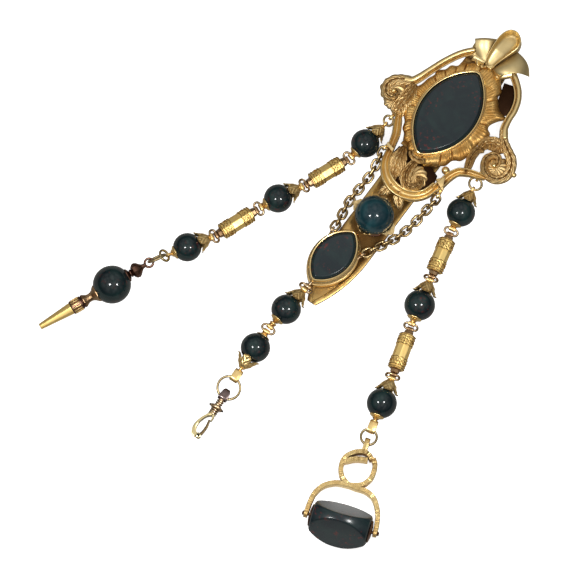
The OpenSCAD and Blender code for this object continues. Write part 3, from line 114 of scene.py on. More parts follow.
# Leaf border round the bezel: shares of STONE_W and STONE_L
BORDER = [[0.12, 0.715], [0.25, 0.705], [0.38, 0.64], [0.44, 0.6], [0.53, 0.53], [0.53, 0.47], [0.6, 0.42],
    [0.71, 0.355], [0.89, 0.325], [0.79, 0.25], [0.72, 0.17], [0.73, 0.12], [0.82, 0.08], [0.82, -0.02],
    [0.75, -0.11], [0.77, -0.21], [0.735, -0.265], [0.68, -0.34], [0.6, -0.37], [0.55, -0.4], [0.51, -0.48],
    [0.42, -0.52], [0.32, -0.57], [0.2, -0.62], [0.1, -0.6], [0, -0.63], [-0.1, -0.585], [-0.2, -0.58],
    [-0.27, -0.53], [-0.37, -0.52], [-0.44, -0.45], [-0.52, -0.41], [-0.56, -0.34], [-0.62, -0.3],
    [-0.69, -0.235], [-0.71, -0.15], [-0.76, -0.09], [-0.73, -0.02], [-0.77, 0.04], [-0.72, 0.11],
    [-0.69, 0.2], [-0.64, 0.27], [-0.65, 0.33], [-0.54, 0.39], [-0.5, 0.46], [-0.4, 0.5], [-0.37, 0.57],
    [-0.25, 0.61], [-0.12, 0.66], [0, 0.65]]
# Arms of the clip and the seal, as in the CAD model
HOOK_ARM = [[9.9, -0.2, 0.75], [11.1, -1, 0.4], [12.6, -1.75, 0.42], [14.4, -2.25, 0.5], [16.3, -2.25, 0.62],
    [17.8, -1.55, 0.75], [18.25, -0.5, 0.75]]
GATE_ARM = [[17.9, 0.2, 0.5], [16.6, 0.7, 0.45], [14.4, 0.85, 0.42], [12.8, 0.6, 0.36], [11.9, 0.35, 0.28]]
LEFT_ARM = [[-1, 0], [-0.985, 0.15], [-0.93, 0.29], [-0.75, 0.42], [-0.43, 0.5], [-0.07, 0.515],
    [0.26, 0.57], [0.43, 0.68], [0.455, 0.8], [0.42, 0.885], [0.33, 0.945]]
RIGHT_ARM = [[1, 0], [0.965, 0.15], [0.89, 0.28], [0.68, 0.435], [0.39, 0.5], [0.09, 0.505], [-0.14, 0.525],
    [-0.36, 0.61], [-0.46, 0.735], [-0.42, 0.86], [-0.22, 0.955], [0.02, 0.995], [0.19, 0.975], [0.31, 0.92]]
TONGUE = [[-0.46, 0.79], [-0.2, 0.86], [-0.01, 0.89], [0.2, 0.9]]

# Strands, from the brooch outwards: kind, heading, size share, over-length before and after
BEAD, BARREL = 0, 1
KNUCKLE, EYE, STRAP = 0, 1, 2
LEFT_UNITS = [(BEAD, -100.6, 1, CAP_OVER + 0.4, CUP_OVER), (BARREL, -111.8, 1, 0, 0),
    (BEAD, -116.4, 1, CAP_OVER, CUP_OVER), (BARREL, -111.1, 1, 0, 0),
    (BEAD, -120.7, 1, CAP_OVER, CUP_OVER + 0.5)]
RIGHT_UNITS = [(BEAD, -81, 1, CAP_OVER, CUP_OVER), (BARREL, -76.5, 1, 0, 0),
    (BEAD, -76, 1.08, CAP_OVER, CUP_OVER + 0.3), (BARREL, -73.5, 1.06, 0, 0),
    (BEAD, -75.2, 1.055, CAP_OVER, CUP_OVER + 2.9)]
CENTRE_UNITS = [(BEAD, -95.4, 1.04, CAP_OVER, CUP_OVER + 1.4),
    (BEAD, -87.4, 1.03, CUP_OVER + 0.2, CAP_OVER + 3.2)]

X, Y, Z = Vector((1, 0, 0)), Vector((0, 1, 0)), Vector((0, 0, 1))


def sind(a):
    return math.sin(math.radians(a))


def cosd(a):
    return math.cos(math.radians(a))


def asind(x):
    return math.degrees(math.asin(x))


def clamp(x):
    return min(1, max(0, x))


def hill(x):
    """Bell curve: 1 in its middle and almost 0 at 2 and -2"""
    return math.exp(-x ** 2)


def wave(x):
    """Cosine with one crest a unit"""
    return math.cos(2 * math.pi * x)


def arch(x):
    """From 0 up to 1 and back as x goes from 0 to 1"""
    return math.sin(math.pi * x)


def way(heading, tilt=0):
    """Unit vector at a heading in the plan and a tilt above it"""
    return Vector((cosd(tilt) * cosd(heading), cosd(tilt) * sind(heading), sind(tilt)))


def turn(angle, axis):
    return Matrix.Rotation(math.radians(angle), 4, axis)


def shift(x=0, y=0, z=0):
    return Matrix.Translation((x, y, z))


def at(spot, heading=0, tilt=0, roll=0):
    """Place of a piece that was made along +X from the origin"""
    return shift(*spot) @ turn(heading, "Z") @ turn(-tilt, "Y") @ turn(roll, "X")


# Where everything lies, worked out as in the CAD model
BARREL_END = KNUCKLE_D / 2 + 1.15
BEFORE, AFTER = 3, 4


def reach(unit, end):
    """From a unit's middle to the joint before or after it"""
    return unit[2] * BARREL_L / 2 + BARREL_END if unit[0] == BARREL else unit[2] * BEAD_D / 2 + unit[end]


def unit_z(unit):
    return BARREL_Z if unit[0] == BARREL else unit[2] * BEAD_D / 2


def strand(units, start):
    """Places of a strand's units and links, and the strand's far joint"""
    units_at, links_at, joint = [], [], start
    for i, u in enumerate(units):
        tilt = 0
        if i == 0:
            tilt = asind((unit_z(u) - joint.z) / reach(u, BEFORE))
        else:
            heading = (units[i - 1][1] + u[1]) / 2
            rise = asind((unit_z(u) - joint.z) / LINK_PITCH)
            links_at.append(at(joint, heading, rise))
            joint = joint + LINK_PITCH * way(heading, rise)
        units_at.append(at(joint + reach(u, BEFORE) * way(u[1], tilt), u[1], tilt))
        joint = joint + (reach(u, BEFORE) + reach(u, AFTER)) * way(u[1], tilt)
    return units_at, links_at, joint


left_lug = Vector((-0.346 * SCROLL_W, -0.183 * SCROLL_L, BROOCH_Z + 0.35))
right_lug = Vector((0.484 * SCROLL_W, -0.186 * SCROLL_L, BROOCH_Z + 0.2))
left_start = left_lug + 2 * LEFT_RING_R * way(LEFT_UNITS[0][1], RING_TILT)
right_start = right_lug + 2 * RIGHT_RING_R * way(RIGHT_UNITS[0][1], RING_TILT)
pend_place = at(PEND_AT, PEND_TURN)
pend_lug = PEND_L / 2 + CASE_T + 0.4 + KNUCKLE_D / 2 + 1
pend_lug_z = PEND_Z + CASE_H / 2
pend_down = PEND_TURN - 90
pend_joint = Vector((PEND_AT.x, PEND_AT.y, pend_lug_z)) + pend_lug * way(pend_down)
centre_rise = asind((unit_z(CENTRE_UNITS[0]) - pend_lug_z) / LINK_PITCH)
centre_start = pend_joint + LINK_PITCH * way(pend_down, centre_rise)
left_at, left_links, left_end = strand(LEFT_UNITS, left_start)
right_at, right_links, right_end = strand(RIGHT_UNITS, right_start)
centre_at, centre_links, centre_end = strand(CENTRE_UNITS, centre_start)
centre_links.insert(0, at(pend_joint, pend_down, centre_rise))

oval_arc = (PEND_L ** 2 + PEND_W ** 2) / (4 * PEND_W)
pend_eye_y = 0.367 * PEND_L
pend_eye_x = math.sqrt((oval_arc + CASE_T) ** 2 - pend_eye_y ** 2) - (oval_arc - PEND_W / 2) + 2
pend_eye_z = PEND_Z + 0.45 * CASE_H


def pend_eye_at(side):
    return pend_place @ Vector((side * pend_eye_x, pend_eye_y, pend_eye_z))


left_eye = Vector((-0.2475 * SCROLL_W, -0.3317 * SCROLL_L, BROOCH_Z - 0.35))
right_eye = Vector((0.319 * SCROLL_W, -0.381 * SCROLL_L, BROOCH_Z + 0.35))
LEFT_ROUTE = [left_eye, (-9.9, -22.5, 4.7), (-9.3, -25.5, 2.8), (-9, -29.2, 1.8), (-9.2, -33, 1.65),
    (-9.4, -37, 1.65), (-9.5, -39.8, 1.65), (-8.9, -43.5, 1.8), (-8.1, -47, 2.6), pend_eye_at(-1)]
RIGHT_ROUTE = [right_eye, (12.6, -25.2, 5), (11.8, -28, 2.9), (11.3, -31.5, 1.8), (10.9, -35, 1.65),
    (10, -38.6, 1.65), (8.9, -42, 2.1), (7.4, -45.2, 2.9), (5.9, -48.2, 3.2), pend_eye_at(1)]

key_turn, ring1_turn, ring1_tilt, ring2_turn = -115.3, -122, 45, -105
ring1_far = left_end + 2 * KEY_RING1_R * way(ring1_turn, ring1_tilt)
KEY_LOOP_REACH, COLLAR_END = 8.75, 8.65
key_reach = KEY_R + KEY_LOOP_REACH
key_tip = KEY_R + COLLAR_END + PIPE_L
key_tilt = -asind((KEY_R - PIPE_TIP / 2) / key_tip)
key_hang = KEY_R - key_reach * sind(key_tilt)
ring2_span = 2 * (KEY_RING2_R - RING_WIRE - 0.2)
ring2_tilt = asind((key_hang - ring1_far.z) / ring2_span)
key_hook = ring1_far + ring2_span * way(ring2_turn, ring2_tilt)
key_at = at(key_hook + key_reach * way(key_turn, key_tilt), key_turn, key_tilt)

clip_turn, clip_z, clip_seat = -86.9, 1.95, 3.6
clip_ring_tilt = asind((clip_z - centre_end.z) / (2 * CLIP_RING_R))
clip_ring_far = centre_end + 2 * CLIP_RING_R * way(clip_turn, clip_ring_tilt)
clip_at = at(clip_ring_far - clip_seat * way(clip_turn), clip_turn)

seal_turn, seal_tilt, loop_l, bail_x = 19.4, -5, 24.5, 0.3
arm_x = SEAL_HALF + GAP + CAP_T + 0.4 + BAND_T / 2
bail_y = loop_l + 2.7
fob_turn = -74.2
fob_tilt = asind((SEAL_FACE + bail_y * sind(seal_tilt) - right_end.z) / (2 * FOB_RING_R))
fob_far = right_end + 2 * FOB_RING_R * way(fob_turn, fob_tilt)
seal_spot = fob_far - bail_x * way(seal_turn) - bail_y * way(seal_turn + 90, seal_tilt)
seal_at = shift(*seal_spot) @ turn(seal_turn, "Z") @ turn(seal_tilt, "X")


# Smooth curves through rows of numbers
def blend(a, b, c, d, t):
    """Share t of the way from row b to row c, on a curve that passes through all four"""
    return [((2 * q) + (r - p) * t + (2 * p - 5 * q + 4 * r - s) * t * t
        + (3 * q - p - 3 * r + s) * t ** 3) / 2 for p, q, r, s in zip(a, b, c, d)]


def smooth_rows(rows, steps):
    last = len(rows) - 1
    out = [blend(rows[max(i - 1, 0)], rows[i], rows[i + 1], rows[min(i + 2, last)], k / steps)
        for i in range(last) for k in range(steps)]
    return out + [list(rows[last])]


def smooth_loop(rows, steps):
    n = len(rows)
    return [blend(rows[i - 1], rows[i], rows[(i + 1) % n], rows[(i + 2) % n], k / steps)
        for i in range(n) for k in range(steps)]


# Modelling by hand
def pick(piece):
    if bpy.context.object and bpy.context.object.mode != "OBJECT":
        bpy.ops.object.mode_set(mode="OBJECT")
    bpy.ops.object.select_all(action="DESELECT")
    if piece:
        piece.select_set(True)
        bpy.context.view_layer.objects.active = piece


def added(name):
    piece = bpy.context.active_object
    piece.name = name
    bpy.ops.object.transform_apply(location=True, rotation=True, scale=True)
    return piece


def edit(piece, chosen=None):
    """Edit mode with the whole piece selected, or only the corners that are chosen by their place"""
    pick(piece)
    bpy.ops.object.mode_set(mode="EDIT")
    bpy.ops.mesh.select_all(action="DESELECT" if chosen else "SELECT")
    if chosen:
        bpy.ops.object.mode_set(mode="OBJECT")
        for corner in piece.data.vertices:
            corner.select = chosen(corner.co)
        bpy.ops.object.mode_set(mode="EDIT")


def face_out(piece=None):
    """All faces turned outwards, and edit mode left"""
    bpy.ops.mesh.select_all(action="SELECT")
    bpy.ops.mesh.normals_make_consistent(inside=False)
    bpy.ops.object.mode_set(mode="OBJECT")
    return piece


def closed_up(piece, fill=True):
    """Seams merged, open ends filled, faces turned outwards"""
    edit(piece)
    bpy.ops.mesh.remove_doubles(threshold=MERGE_WITHIN)
    if fill:
        bpy.ops.mesh.fill_holes(sides=0)
    return face_out(piece)


def moved(piece, matrix):
    piece.data.transform(matrix)
    if matrix.is_negative:
        piece.data.flip_normals()
    return piece


def copied(piece, matrix=Matrix()):
    twin = piece.copy()
    twin.data = piece.data.copy()
    bpy.context.scene.collection.objects.link(twin)
    return moved(twin, matrix)


def joined(name, pieces):
    pick(pieces[0])
    for piece in pieces[1:]:
        piece.select_set(True)
    bpy.ops.object.join()
    piece = bpy.context.active_object
    piece.name = name
    return piece


def modified(piece, kind, **settings):
    """Modifier added and applied"""
    pick(piece)
    modifier = piece.modifiers.new(kind.title(), kind)
    for name, value in settings.items():
        setattr(modifier, name, value)
    bpy.ops.object.modifier_apply(modifier=modifier.name)
    return piece


def softened(piece, width, angle):
    """Edges sharper than the angle bevelled"""
    return modified(piece, "BEVEL", width=width, segments=2, limit_method="ANGLE",
        angle_limit=math.radians(angle))


def thickened(sheet, thickness):
    return closed_up(modified(sheet, "SOLIDIFY", thickness=thickness, offset=-1))


def settled(piece, name, node, material, place=Matrix(), body="root", smooth=38):
    """Finished piece brought to metres in its place, riding on its body instead of the CAD node"""
    piece.name = piece.data.name = name
    piece.data.transform(Matrix.Scale(MM, 4) @ place)
    pick(piece)
    bpy.ops.object.shade_smooth_by_angle(angle=math.radians(smooth))
    piece.data.materials.clear()
    piece.data.materials.append(material)
    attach(piece, body)
    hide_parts(node)


def shaped(name, columns, rows, spot, fill=True):
    """Grid laid out over the surface spot(u, v); it closes where it meets itself"""
    pick(None)
    bpy.ops.mesh.primitive_grid_add(x_subdivisions=columns, y_subdivisions=rows, size=2)
    piece = added(name)
    for corner in piece.data.vertices:
        corner.co = spot((corner.co.x + 1) / 2, (corner.co.y + 1) / 2)
    return closed_up(piece) if fill else piece


def swept(name, stations, section, loop=False):
    """Section carried along stations of centre, side and up, into a loop or with filled ends"""
    sections = section if callable(section) else lambda i: section
    across = len(sections(0))
    along = len(stations) - (0 if loop else 1)

    def spot(u, v):
        i = round(v * along) % len(stations)
        x, y = sections(i)[round(u * across) % across]
        centre, side, up = stations[i]
        return centre + side * x + up * y
    return shaped(name, across, along, spot)


def turned(name, rows, sides=48, base=0):
    """Solid turned round Z, from rows of height above the base and radius there"""
    pick(None)
    height, radius = base + rows[0][0], rows[0][1]
    bpy.ops.mesh.primitive_circle_add(vertices=sides, radius=radius, fill_type="NGON",
        location=(0, 0, height))
    bpy.ops.object.mode_set(mode="EDIT")
    for rise, r in rows[1:]:
        z = base + rise
        bpy.ops.mesh.extrude_region_move(TRANSFORM_OT_translate={"value": (0, 0, z - height)})
        bpy.ops.transform.resize(value=(r / radius, r / radius, 1), center_override=(0, 0, z))
        height, radius = z, r
    face_out()
    return added(name)


def lathed(name, rows, sides=48, base=0, way_round=90):
    """The same solid laid along X"""
    return moved(turned(name, rows, sides, base), turn(way_round, "Y"))


def hoop(name, r, wire, around=64, sides=14):
    """Round ring lying in the plan"""
    pick(None)
    bpy.ops.mesh.primitive_torus_add(major_radius=r, minor_radius=wire / 2, major_segments=around,
        minor_segments=sides)
    return added(name)


def jump_ring(name, r, wire):
    """Ring of wire with its two ends butted together, and worn a little thinner opposite"""
    piece = hoop(name, r, wire, 90, 16)
    butt_at = 100
    for corner in piece.data.vertices:
        a = math.degrees(math.atan2(corner.co.y, corner.co.x))
        joint = -0.16 * hill((a - butt_at) / 1.6) + 0.07 * hill((abs(a - butt_at) - 7) / 5)
        worn = -0.1 * hill((abs(a) - 180) / 30)
        corner.co = r * way(a) + (corner.co - r * way(a)) * (1 + joint + worn)
    return piece


def drawn_out(piece, axis, length):
    """Ring drawn out into a long link: each half moves by half of the length"""
    for side in (1, -1):
        edit(piece, lambda spot: side * spot[axis] > 0.001)
        step = [0, 0, 0]
        step[axis] = side * length / 2
        bpy.ops.transform.translate(value=step)
        bpy.ops.object.mode_set(mode="OBJECT")
    return piece


def bar_section(x, y, e):
    """Rounded oblong: half width, half height and the size of its rounded corners"""
    k = 0.29 * e
    corners = [(x, y - e), (x - k, y - k), (x - e, y)]
    out = []
    for sx, sy, step in ((1, 1, 1), (-1, 1, -1), (-1, -1, 1), (1, -1, -1)):
        out += [(sx * a, sy * b) for a, b in corners][::step]
    return out


def straight(*rows):
    """Stations along X, each a place and the scale of the section there"""
    return [(x * X, k * Y, k * Z) for x, k in rows]


def ring_stations(r):
    """Stations round an upright ring"""
    return [(r * way(0, a), Y, way(0, a)) for a in range(0, 360, 15)]


def stations_along(rows):
    """Stations through rows of x, y, z, half width and height, and the run up to each"""
    stations, run = [], [0]
    for i, (x, y, z, half, height) in enumerate(rows):
        p, q = rows[max(i - 1, 0)], rows[min(i + 1, len(rows) - 1)]
        a = math.atan2(q[1] - p[1], q[0] - p[0])
        stations.append((Vector((x, y, z)), Vector((-math.sin(a), math.cos(a), 0)) * half, Z * height))
        if i:
            run.append(run[-1] + math.dist((x, y), rows[i - 1][:2]))
    return stations, run


# Shader nodes and groups
def feed(tree, socket, value):
    """Link into a socket, or its fixed value"""
    if isinstance(value, bpy.types.NodeSocket):
        tree.links.new(value, socket)
    else:
        socket.default_value = value


def node(tree, kind, links=None, **settings):
    made = tree.nodes.new("ShaderNode" + kind)
    for name, value in settings.items():
        setattr(made, name, value)
    for name, value in (links or {}).items():
        feed(tree, made.inputs[name], value)
    return made


def math_node(tree, operation, *values, clamp=False):
    return node(tree, "Math", dict(enumerate(values)), operation=operation, use_clamp=clamp).outputs[0]


def mixed(tree, share, a, b):
    """Colour between a and b"""
    return node(tree, "Mix", {0: share, 6: a, 7: b}, data_type="RGBA").outputs[2]


def spread(tree, value, low, high, to_low=0.0, to_high=1.0):
    return node(tree, "MapRange", {"Value": value, "From Min": low, "From Max": high, "To Min": to_low,
        "To Max": to_high}).outputs[0]


def noise(tree, spot, scale, detail=2.0, distortion=0.0):
    return node(tree, "TexNoise", {"Vector": spot, "Scale": scale, "Detail": detail,
        "Distortion": distortion}).outputs[0]


def object_spot(tree):
    return node(tree, "TexCoord").outputs["Object"]


def group_tree(name, inputs, outputs):
    """New group: its tree, what it is given and what it gives out"""
    tree = bpy.data.node_groups.new(name, "ShaderNodeTree")
    for side, sockets in (("INPUT", inputs), ("OUTPUT", outputs)):
        for label, value in sockets.items():
            kind = "NodeSocketColor" if isinstance(value, tuple) else "NodeSocketFloat"
            tree.interface.new_socket(name=label, in_out=side, socket_type=kind).default_value = value
    return tree, tree.nodes.new("NodeGroupInput").outputs, tree.nodes.new("NodeGroupOutput").inputs


def gold_surface():
    """Old gold: amber in the recesses, brown tarnish in the deepest, both partly painted shade; rubbed
    patches and fine scratches
    """
    tree, given, out = group_tree("Gold surface", {"Light gold": (0.9, 0.66, 0.3, 1),
        "Amber": (0.5, 0.2, 0.04, 1), "Tarnish and shade": (0.1, 0.05, 0.02, 1), "Openness": 1.0, "Ambering": 0.5,
        "Roughness": 0.3, "Grain": 0.5}, {"Colour": (0, 0, 0, 1), "Roughness": 0.0, "Height": 0.0})
    spot = object_spot(tree)
    patches, grain = noise(tree, spot, 330.0, 3.0), noise(tree, spot, 5200.0)
    lines = node(tree, "Mapping", {"Vector": spot, "Rotation": (0.3, 0.2, 0.7), "Scale": (1.0, 9.0, 5.0)})
    scratches = math_node(tree, "MULTIPLY", noise(tree, lines.outputs[0], 900.0), 0.35)
    # Recesses read by occlusion turn amber, then tarnish at their deepest: patina and painted shade
    depth = math_node(tree, "SUBTRACT", 1.0, given["Openness"])
    rubbed = math_node(tree, "MULTIPLY", given["Ambering"], spread(tree, patches, 0.38, 0.66))
    amber = math_node(tree, "MULTIPLY_ADD", depth, 1.3, rubbed, clamp=True)
    tint = mixed(tree, amber, given["Light gold"], given["Amber"])
    uneven = math_node(tree, "MULTIPLY", math_node(tree, "SUBTRACT", patches, 0.5), 0.25)
    rough = math_node(tree, "ADD", given["Roughness"], uneven)
    feed(tree, out["Colour"], mixed(tree, spread(tree, depth, 0.42, 0.95), tint, given["Tarnish and shade"]))
    feed(tree, out["Roughness"], math_node(tree, "ADD", rough, math_node(tree, "MULTIPLY", depth, 0.22),
        clamp=True))
    feed(tree, out["Height"], math_node(tree, "ADD", math_node(tree, "MULTIPLY", grain, given["Grain"]),
        scratches))
    return tree


def chased_lines():
    """Fine engraved scrolls, as closed curls of dark line on a bright ground"""
    tree, given, out = group_tree("Chased lines", {"Scale": 900.0, "Width": 0.12}, {"Line": 0.0})
    cells = node(tree, "TexVoronoi", {"Vector": object_spot(tree), "Scale": given["Scale"]}).outputs[0]
    waves = math_node(tree, "SINE", math_node(tree, "MULTIPLY", cells, 16.0))
    feed(tree, out["Line"], math_node(tree, "LESS_THAN", math_node(tree, "ABSOLUTE", waves), given["Width"]))
    return tree


def stone_specks():
    """Bloodstone: near-black teal with greener clouds and dim red specks"""
    tree, given, out = group_tree("Bloodstone specks", {"Dark": (0.008, 0.014, 0.017, 1),
        "Cloud": (0.012, 0.03, 0.03, 1), "Blood": (0.11, 0.014, 0.012, 1), "Specks": 1.0},
        {"Colour": (0, 0, 0, 1)})
    spot = object_spot(tree)
    clouds = noise(tree, spot, 210.0, 4.0, 0.6)
    tint = mixed(tree, spread(tree, clouds, 0.42, 0.68), given["Dark"], given["Cloud"])
    small = spread(tree, noise(tree, spot, 900.0, 3.0), 0.57, 0.7)
    where = spread(tree, noise(tree, spot, 150.0, 1.0), 0.45, 0.6)
    share = math_node(tree, "MULTIPLY", small, where)
    blood = math_node(tree, "MULTIPLY", share, given["Specks"], clamp=True)
    feed(tree, out["Colour"], mixed(tree, blood, tint, given["Blood"]))
    return tree


GOLD_SURFACE, CHASED_LINES, STONE_SPECKS = gold_surface(), chased_lines(), stone_specks()


def new_material(name):
    material = bpy.data.materials.new(name)
    material.use_nodes = True
    tree = material.node_tree
    return material, tree, tree.nodes["Principled BSDF"].inputs


def gold(name, light, amber, tarnish_and_shade, ambering=0.5, rough=0.3, grain=0.5, bump=0.25, chased=None,
        recess=0.0012):
    """Gold with its recesses read by occlusion and darkened as tarnish and painted shade; a recess reach of
    2 mm or more also reads other pieces and paints their shade
    """
    material, tree, surface = new_material(name)
    light, amber, tarnish_and_shade = (*light, 1), (*amber, 1), (*tarnish_and_shade, 1)
    openness = node(tree, "AmbientOcclusion", {"Distance": recess}, samples=6, only_local=recess < 0.002)
    made = node(tree, "Group", {"Light gold": light, "Amber": amber, "Tarnish and shade": tarnish_and_shade,
        "Openness": openness.outputs["AO"], "Ambering": ambering, "Roughness": rough, "Grain": grain},
        node_tree=GOLD_SURFACE).outputs
    tint, height = made["Colour"], made["Height"]
    if chased:
        scale, width, strength = chased
        line = node(tree, "Group", {"Scale": scale, "Width": width}, node_tree=CHASED_LINES).outputs["Line"]
        tint = mixed(tree, math_node(tree, "MULTIPLY", line, strength), tint, tarnish_and_shade)
        height = math_node(tree, "SUBTRACT", height, line)
    dents = node(tree, "Bump", {"Height": height, "Distance": 0.00004, "Strength": bump}).outputs[0]
    for socket, value in (("Base Color", tint), ("Roughness", made["Roughness"]), ("Normal", dents),
            ("Metallic", 1)):
        feed(tree, surface[socket], value)
    return material


def stone(name, dark, cloud, specks, rough):
    material, tree, surface = new_material(name)
    made = node(tree, "Group", {"Dark": (*dark, 1), "Cloud": (*cloud, 1), "Specks": specks},
        node_tree=STONE_SPECKS).outputs
    for socket, value in (("Base Color", made["Colour"]), ("Roughness", rough), ("IOR", 1.54),
            ("Specular IOR Level", 0.35)):
        feed(tree, surface[socket], value)
    return material


# Golds: name, light, amber and tarnish colours (amber and tarnish also paint shade into recesses), then the
# shares that gold() names
AMBER, BROWN = (0.48, 0.24, 0.06), (0.09, 0.04, 0.014)
BARREL_TINTS = (0.96, 0.71, 0.27), (0.7, 0.4, 0.09), (0.2, 0.09, 0.02)
bright_gold = gold("Polished gold", (0.93, 0.7, 0.33), AMBER, BROWN, 0.15, 0.24, recess=0.0018)
satin_gold = gold("Satin gold", (0.82, 0.62, 0.29), (0.46, 0.26, 0.08), BROWN, 0.3, 0.33)
leaf_gold = gold("Chased leaf gold", (0.66, 0.49, 0.24), (0.4, 0.23, 0.075), BROWN, 0.4, 0.42, 0.9, 0.5)
amber_gold = gold("Amber gold", (0.6, 0.38, 0.13), (0.4, 0.19, 0.04), BROWN, 0.75, 0.44, 0.9, 0.6,
    (1100.0, 0.16, 0.3))
# Its occlusion reaches other pieces too, painting shade into the top of the bow's loop
bow_gold = gold("Satin bow gold", (0.77, 0.61, 0.31), (0.36, 0.24, 0.09), BROWN, 0.15, 0.42, 0.8,
    recess=0.0025)
# Its long occlusion reach paints the shade of the boss and the brooch onto the hook plate
hook_gold = gold("Olive hook gold", (0.55, 0.38, 0.14), (0.28, 0.15, 0.045), BROWN, 0.5, 0.36, 0.8,
    recess=0.006)
cap_gold = gold("Yellow leaf cap gold", (0.9, 0.67, 0.3), (0.6, 0.34, 0.1), (0.2, 0.09, 0.025), 0.45, 0.3,
    0.9, 0.6)
chain_gold = gold("Bronzed chain gold", (0.56, 0.42, 0.21), (0.25, 0.15, 0.06), BROWN, 0.6, 0.27)
link_gold = gold("Bronzed link gold", (0.46, 0.34, 0.2), (0.22, 0.13, 0.07), BROWN, 0.5, 0.34, 0.3, 0.12)
ring_gold = gold("Worn ring gold", (0.46, 0.36, 0.19), (0.22, 0.14, 0.06), BROWN, 0.5, 0.38, 0.2, 0.08)
pale_gold = gold("Pale clip gold", (0.7, 0.6, 0.33), (0.42, 0.3, 0.12), BROWN, 0.45, 0.28)
gate_gold = gold("Olive gate gold", (0.14, 0.1, 0.05), (0.08, 0.05, 0.02), BROWN, 0.5, 0.4, 0.3, 0.1)
shackle_gold = gold("Dark shackle gold", (0.2, 0.15, 0.14), (0.09, 0.06, 0.06), (0.03, 0.02, 0.02), 0.6,
    0.25)
browned_and_shade_gold = gold("Browned gold and painted shade", (0.2, 0.11, 0.075), (0.1, 0.045, 0.03), (0.035, 0.017, 0.01), 0.7, 0.28)
waist_gold = gold("Brown waist gold", (0.4, 0.26, 0.14), (0.2, 0.11, 0.05), (0.05, 0.025, 0.01), 0.6, 0.28)
shade_backing_gold = gold("Painted shade backing", (0.03, 0.014, 0.007), (0.02, 0.009, 0.005), (0.01, 0.005, 0.003), 0.7,
    0.5)
line_gold = gold("Engraved line tarnish", (0.3, 0.18, 0.06), (0.16, 0.08, 0.025), BROWN, 0.5, 0.5, 0.3, 0.1)
dark_steel = gold("Dark pegs", (0.035,) * 3, (0.02,) * 3, (0.01,) * 3, 0.5, 0.6)
rose_gold = gold("Rosy disc gold", (0.6, 0.45, 0.28), (0.34, 0.2, 0.1), BROWN, 0.45, 0.34, 0.3, 0.1)
barrel_gold = gold("Bright barrel gold", *BARREL_TINTS, 0.3, 0.44, 0.6, 0.4)
band_gold = gold("Engraved barrel gold", *BARREL_TINTS, 0.3, 0.44, 0.6, 0.9, (700.0, 0.2, 0.35))
# Its occlusion reach also paints shade on the frame's sides
seal_gold = gold("Chased seal gold", (0.8, 0.6, 0.27), AMBER, (0.16, 0.08, 0.02), 0.35, 0.33, 0.8, 0.8,
    (850.0, 0.25, 0.55), 0.0025)
bloodstone = stone("Bloodstone", (0.006, 0.012, 0.014), (0.01, 0.026, 0.025), 0.45, 0.1)
table_stone = stone("Bloodstone tables", (0.008, 0.015, 0.019), (0.011, 0.024, 0.025), 0.8, 0.22)
boss_stone = stone("Teal bloodstone", (0.006, 0.024, 0.032), (0.012, 0.05, 0.06), 0.0, 0.1)


# Pointed ovals with slightly rounded ends. The real stones are a little fuller than their plain solids
MAIN_L, MAIN_W, PENDANT_L, PENDANT_W = 1.06 * STONE_L, 1.03 * STONE_W, 1.04 * PEND_L, 1.09 * PEND_W
MAIN_TIP, PENDANT_TIP = 1.9, 1.3
SIDE_SHARE = 0.43


def oval_edge(length, width, grow, share, tip):
    """Point of the edge at a share of the way round, moved out by grow; the tip is its ends' radius"""
    long, wide = length - 2 * tip, width - 2 * tip
    r = (long * long + wide * wide) / (4 * wide)
    c = r - wide / 2
    half = math.degrees(math.acos(c / r))
    part = share % 0.5
    if part < SIDE_SHARE:
        a = half * (2 * part / SIDE_SHARE - 1)
        x, y = (r + tip + grow) * cosd(a) - c, (r + tip + grow) * sind(a)
    else:
        a = half + (180 - 2 * half) * (part - SIDE_SHARE) / (0.5 - SIDE_SHARE)
        x, y = (tip + grow) * cosd(a), long / 2 + (tip + grow) * sind(a)
    return (x, y) if share % 1 < 0.5 else (-x, -y)


def oval_rings(name, length, width, base, rows, tip, around=160):
    """Solid or ring whose rows are how far the edge is moved out, and the height above the base"""
    def spot(u, v):
        grow, z = rows[round(v * (len(rows) - 1))]
        return Vector((*oval_edge(length, width, grow, u, tip), base + z))
    return shaped(name, around, len(rows) - 1, spot)


main_stone = oval_rings("stone", MAIN_L, MAIN_W, STONE_Z, [(-1.2, 0), (0, 0), (0, 1.85), (-0.06, 1.97),
    (-0.72, 2.63), (-0.84, 2.69), (-1.0, 2.7)], MAIN_TIP)
settled(main_stone, "main_stone_polished", "main_stone", table_stone)
bezel = oval_rings("bezel", MAIN_L, MAIN_W, BROOCH_Z, [(0.1, 0), (1.1, 0), (1.1, 2.1), (1.05, 2.3),
    (0.92, 2.4), (0.8, 2.38), (0.74, 2.2), (0.68, 2.28), (0.64, 2.7), (0.55, 2.9), (0.4, 2.97), (0.25, 2.92),
    (0.14, 2.75), (0.1, 2.4), (0.1, 0)], MAIN_TIP, 200)
settled(bezel, "main_bezel", "brooch", bright_gold)


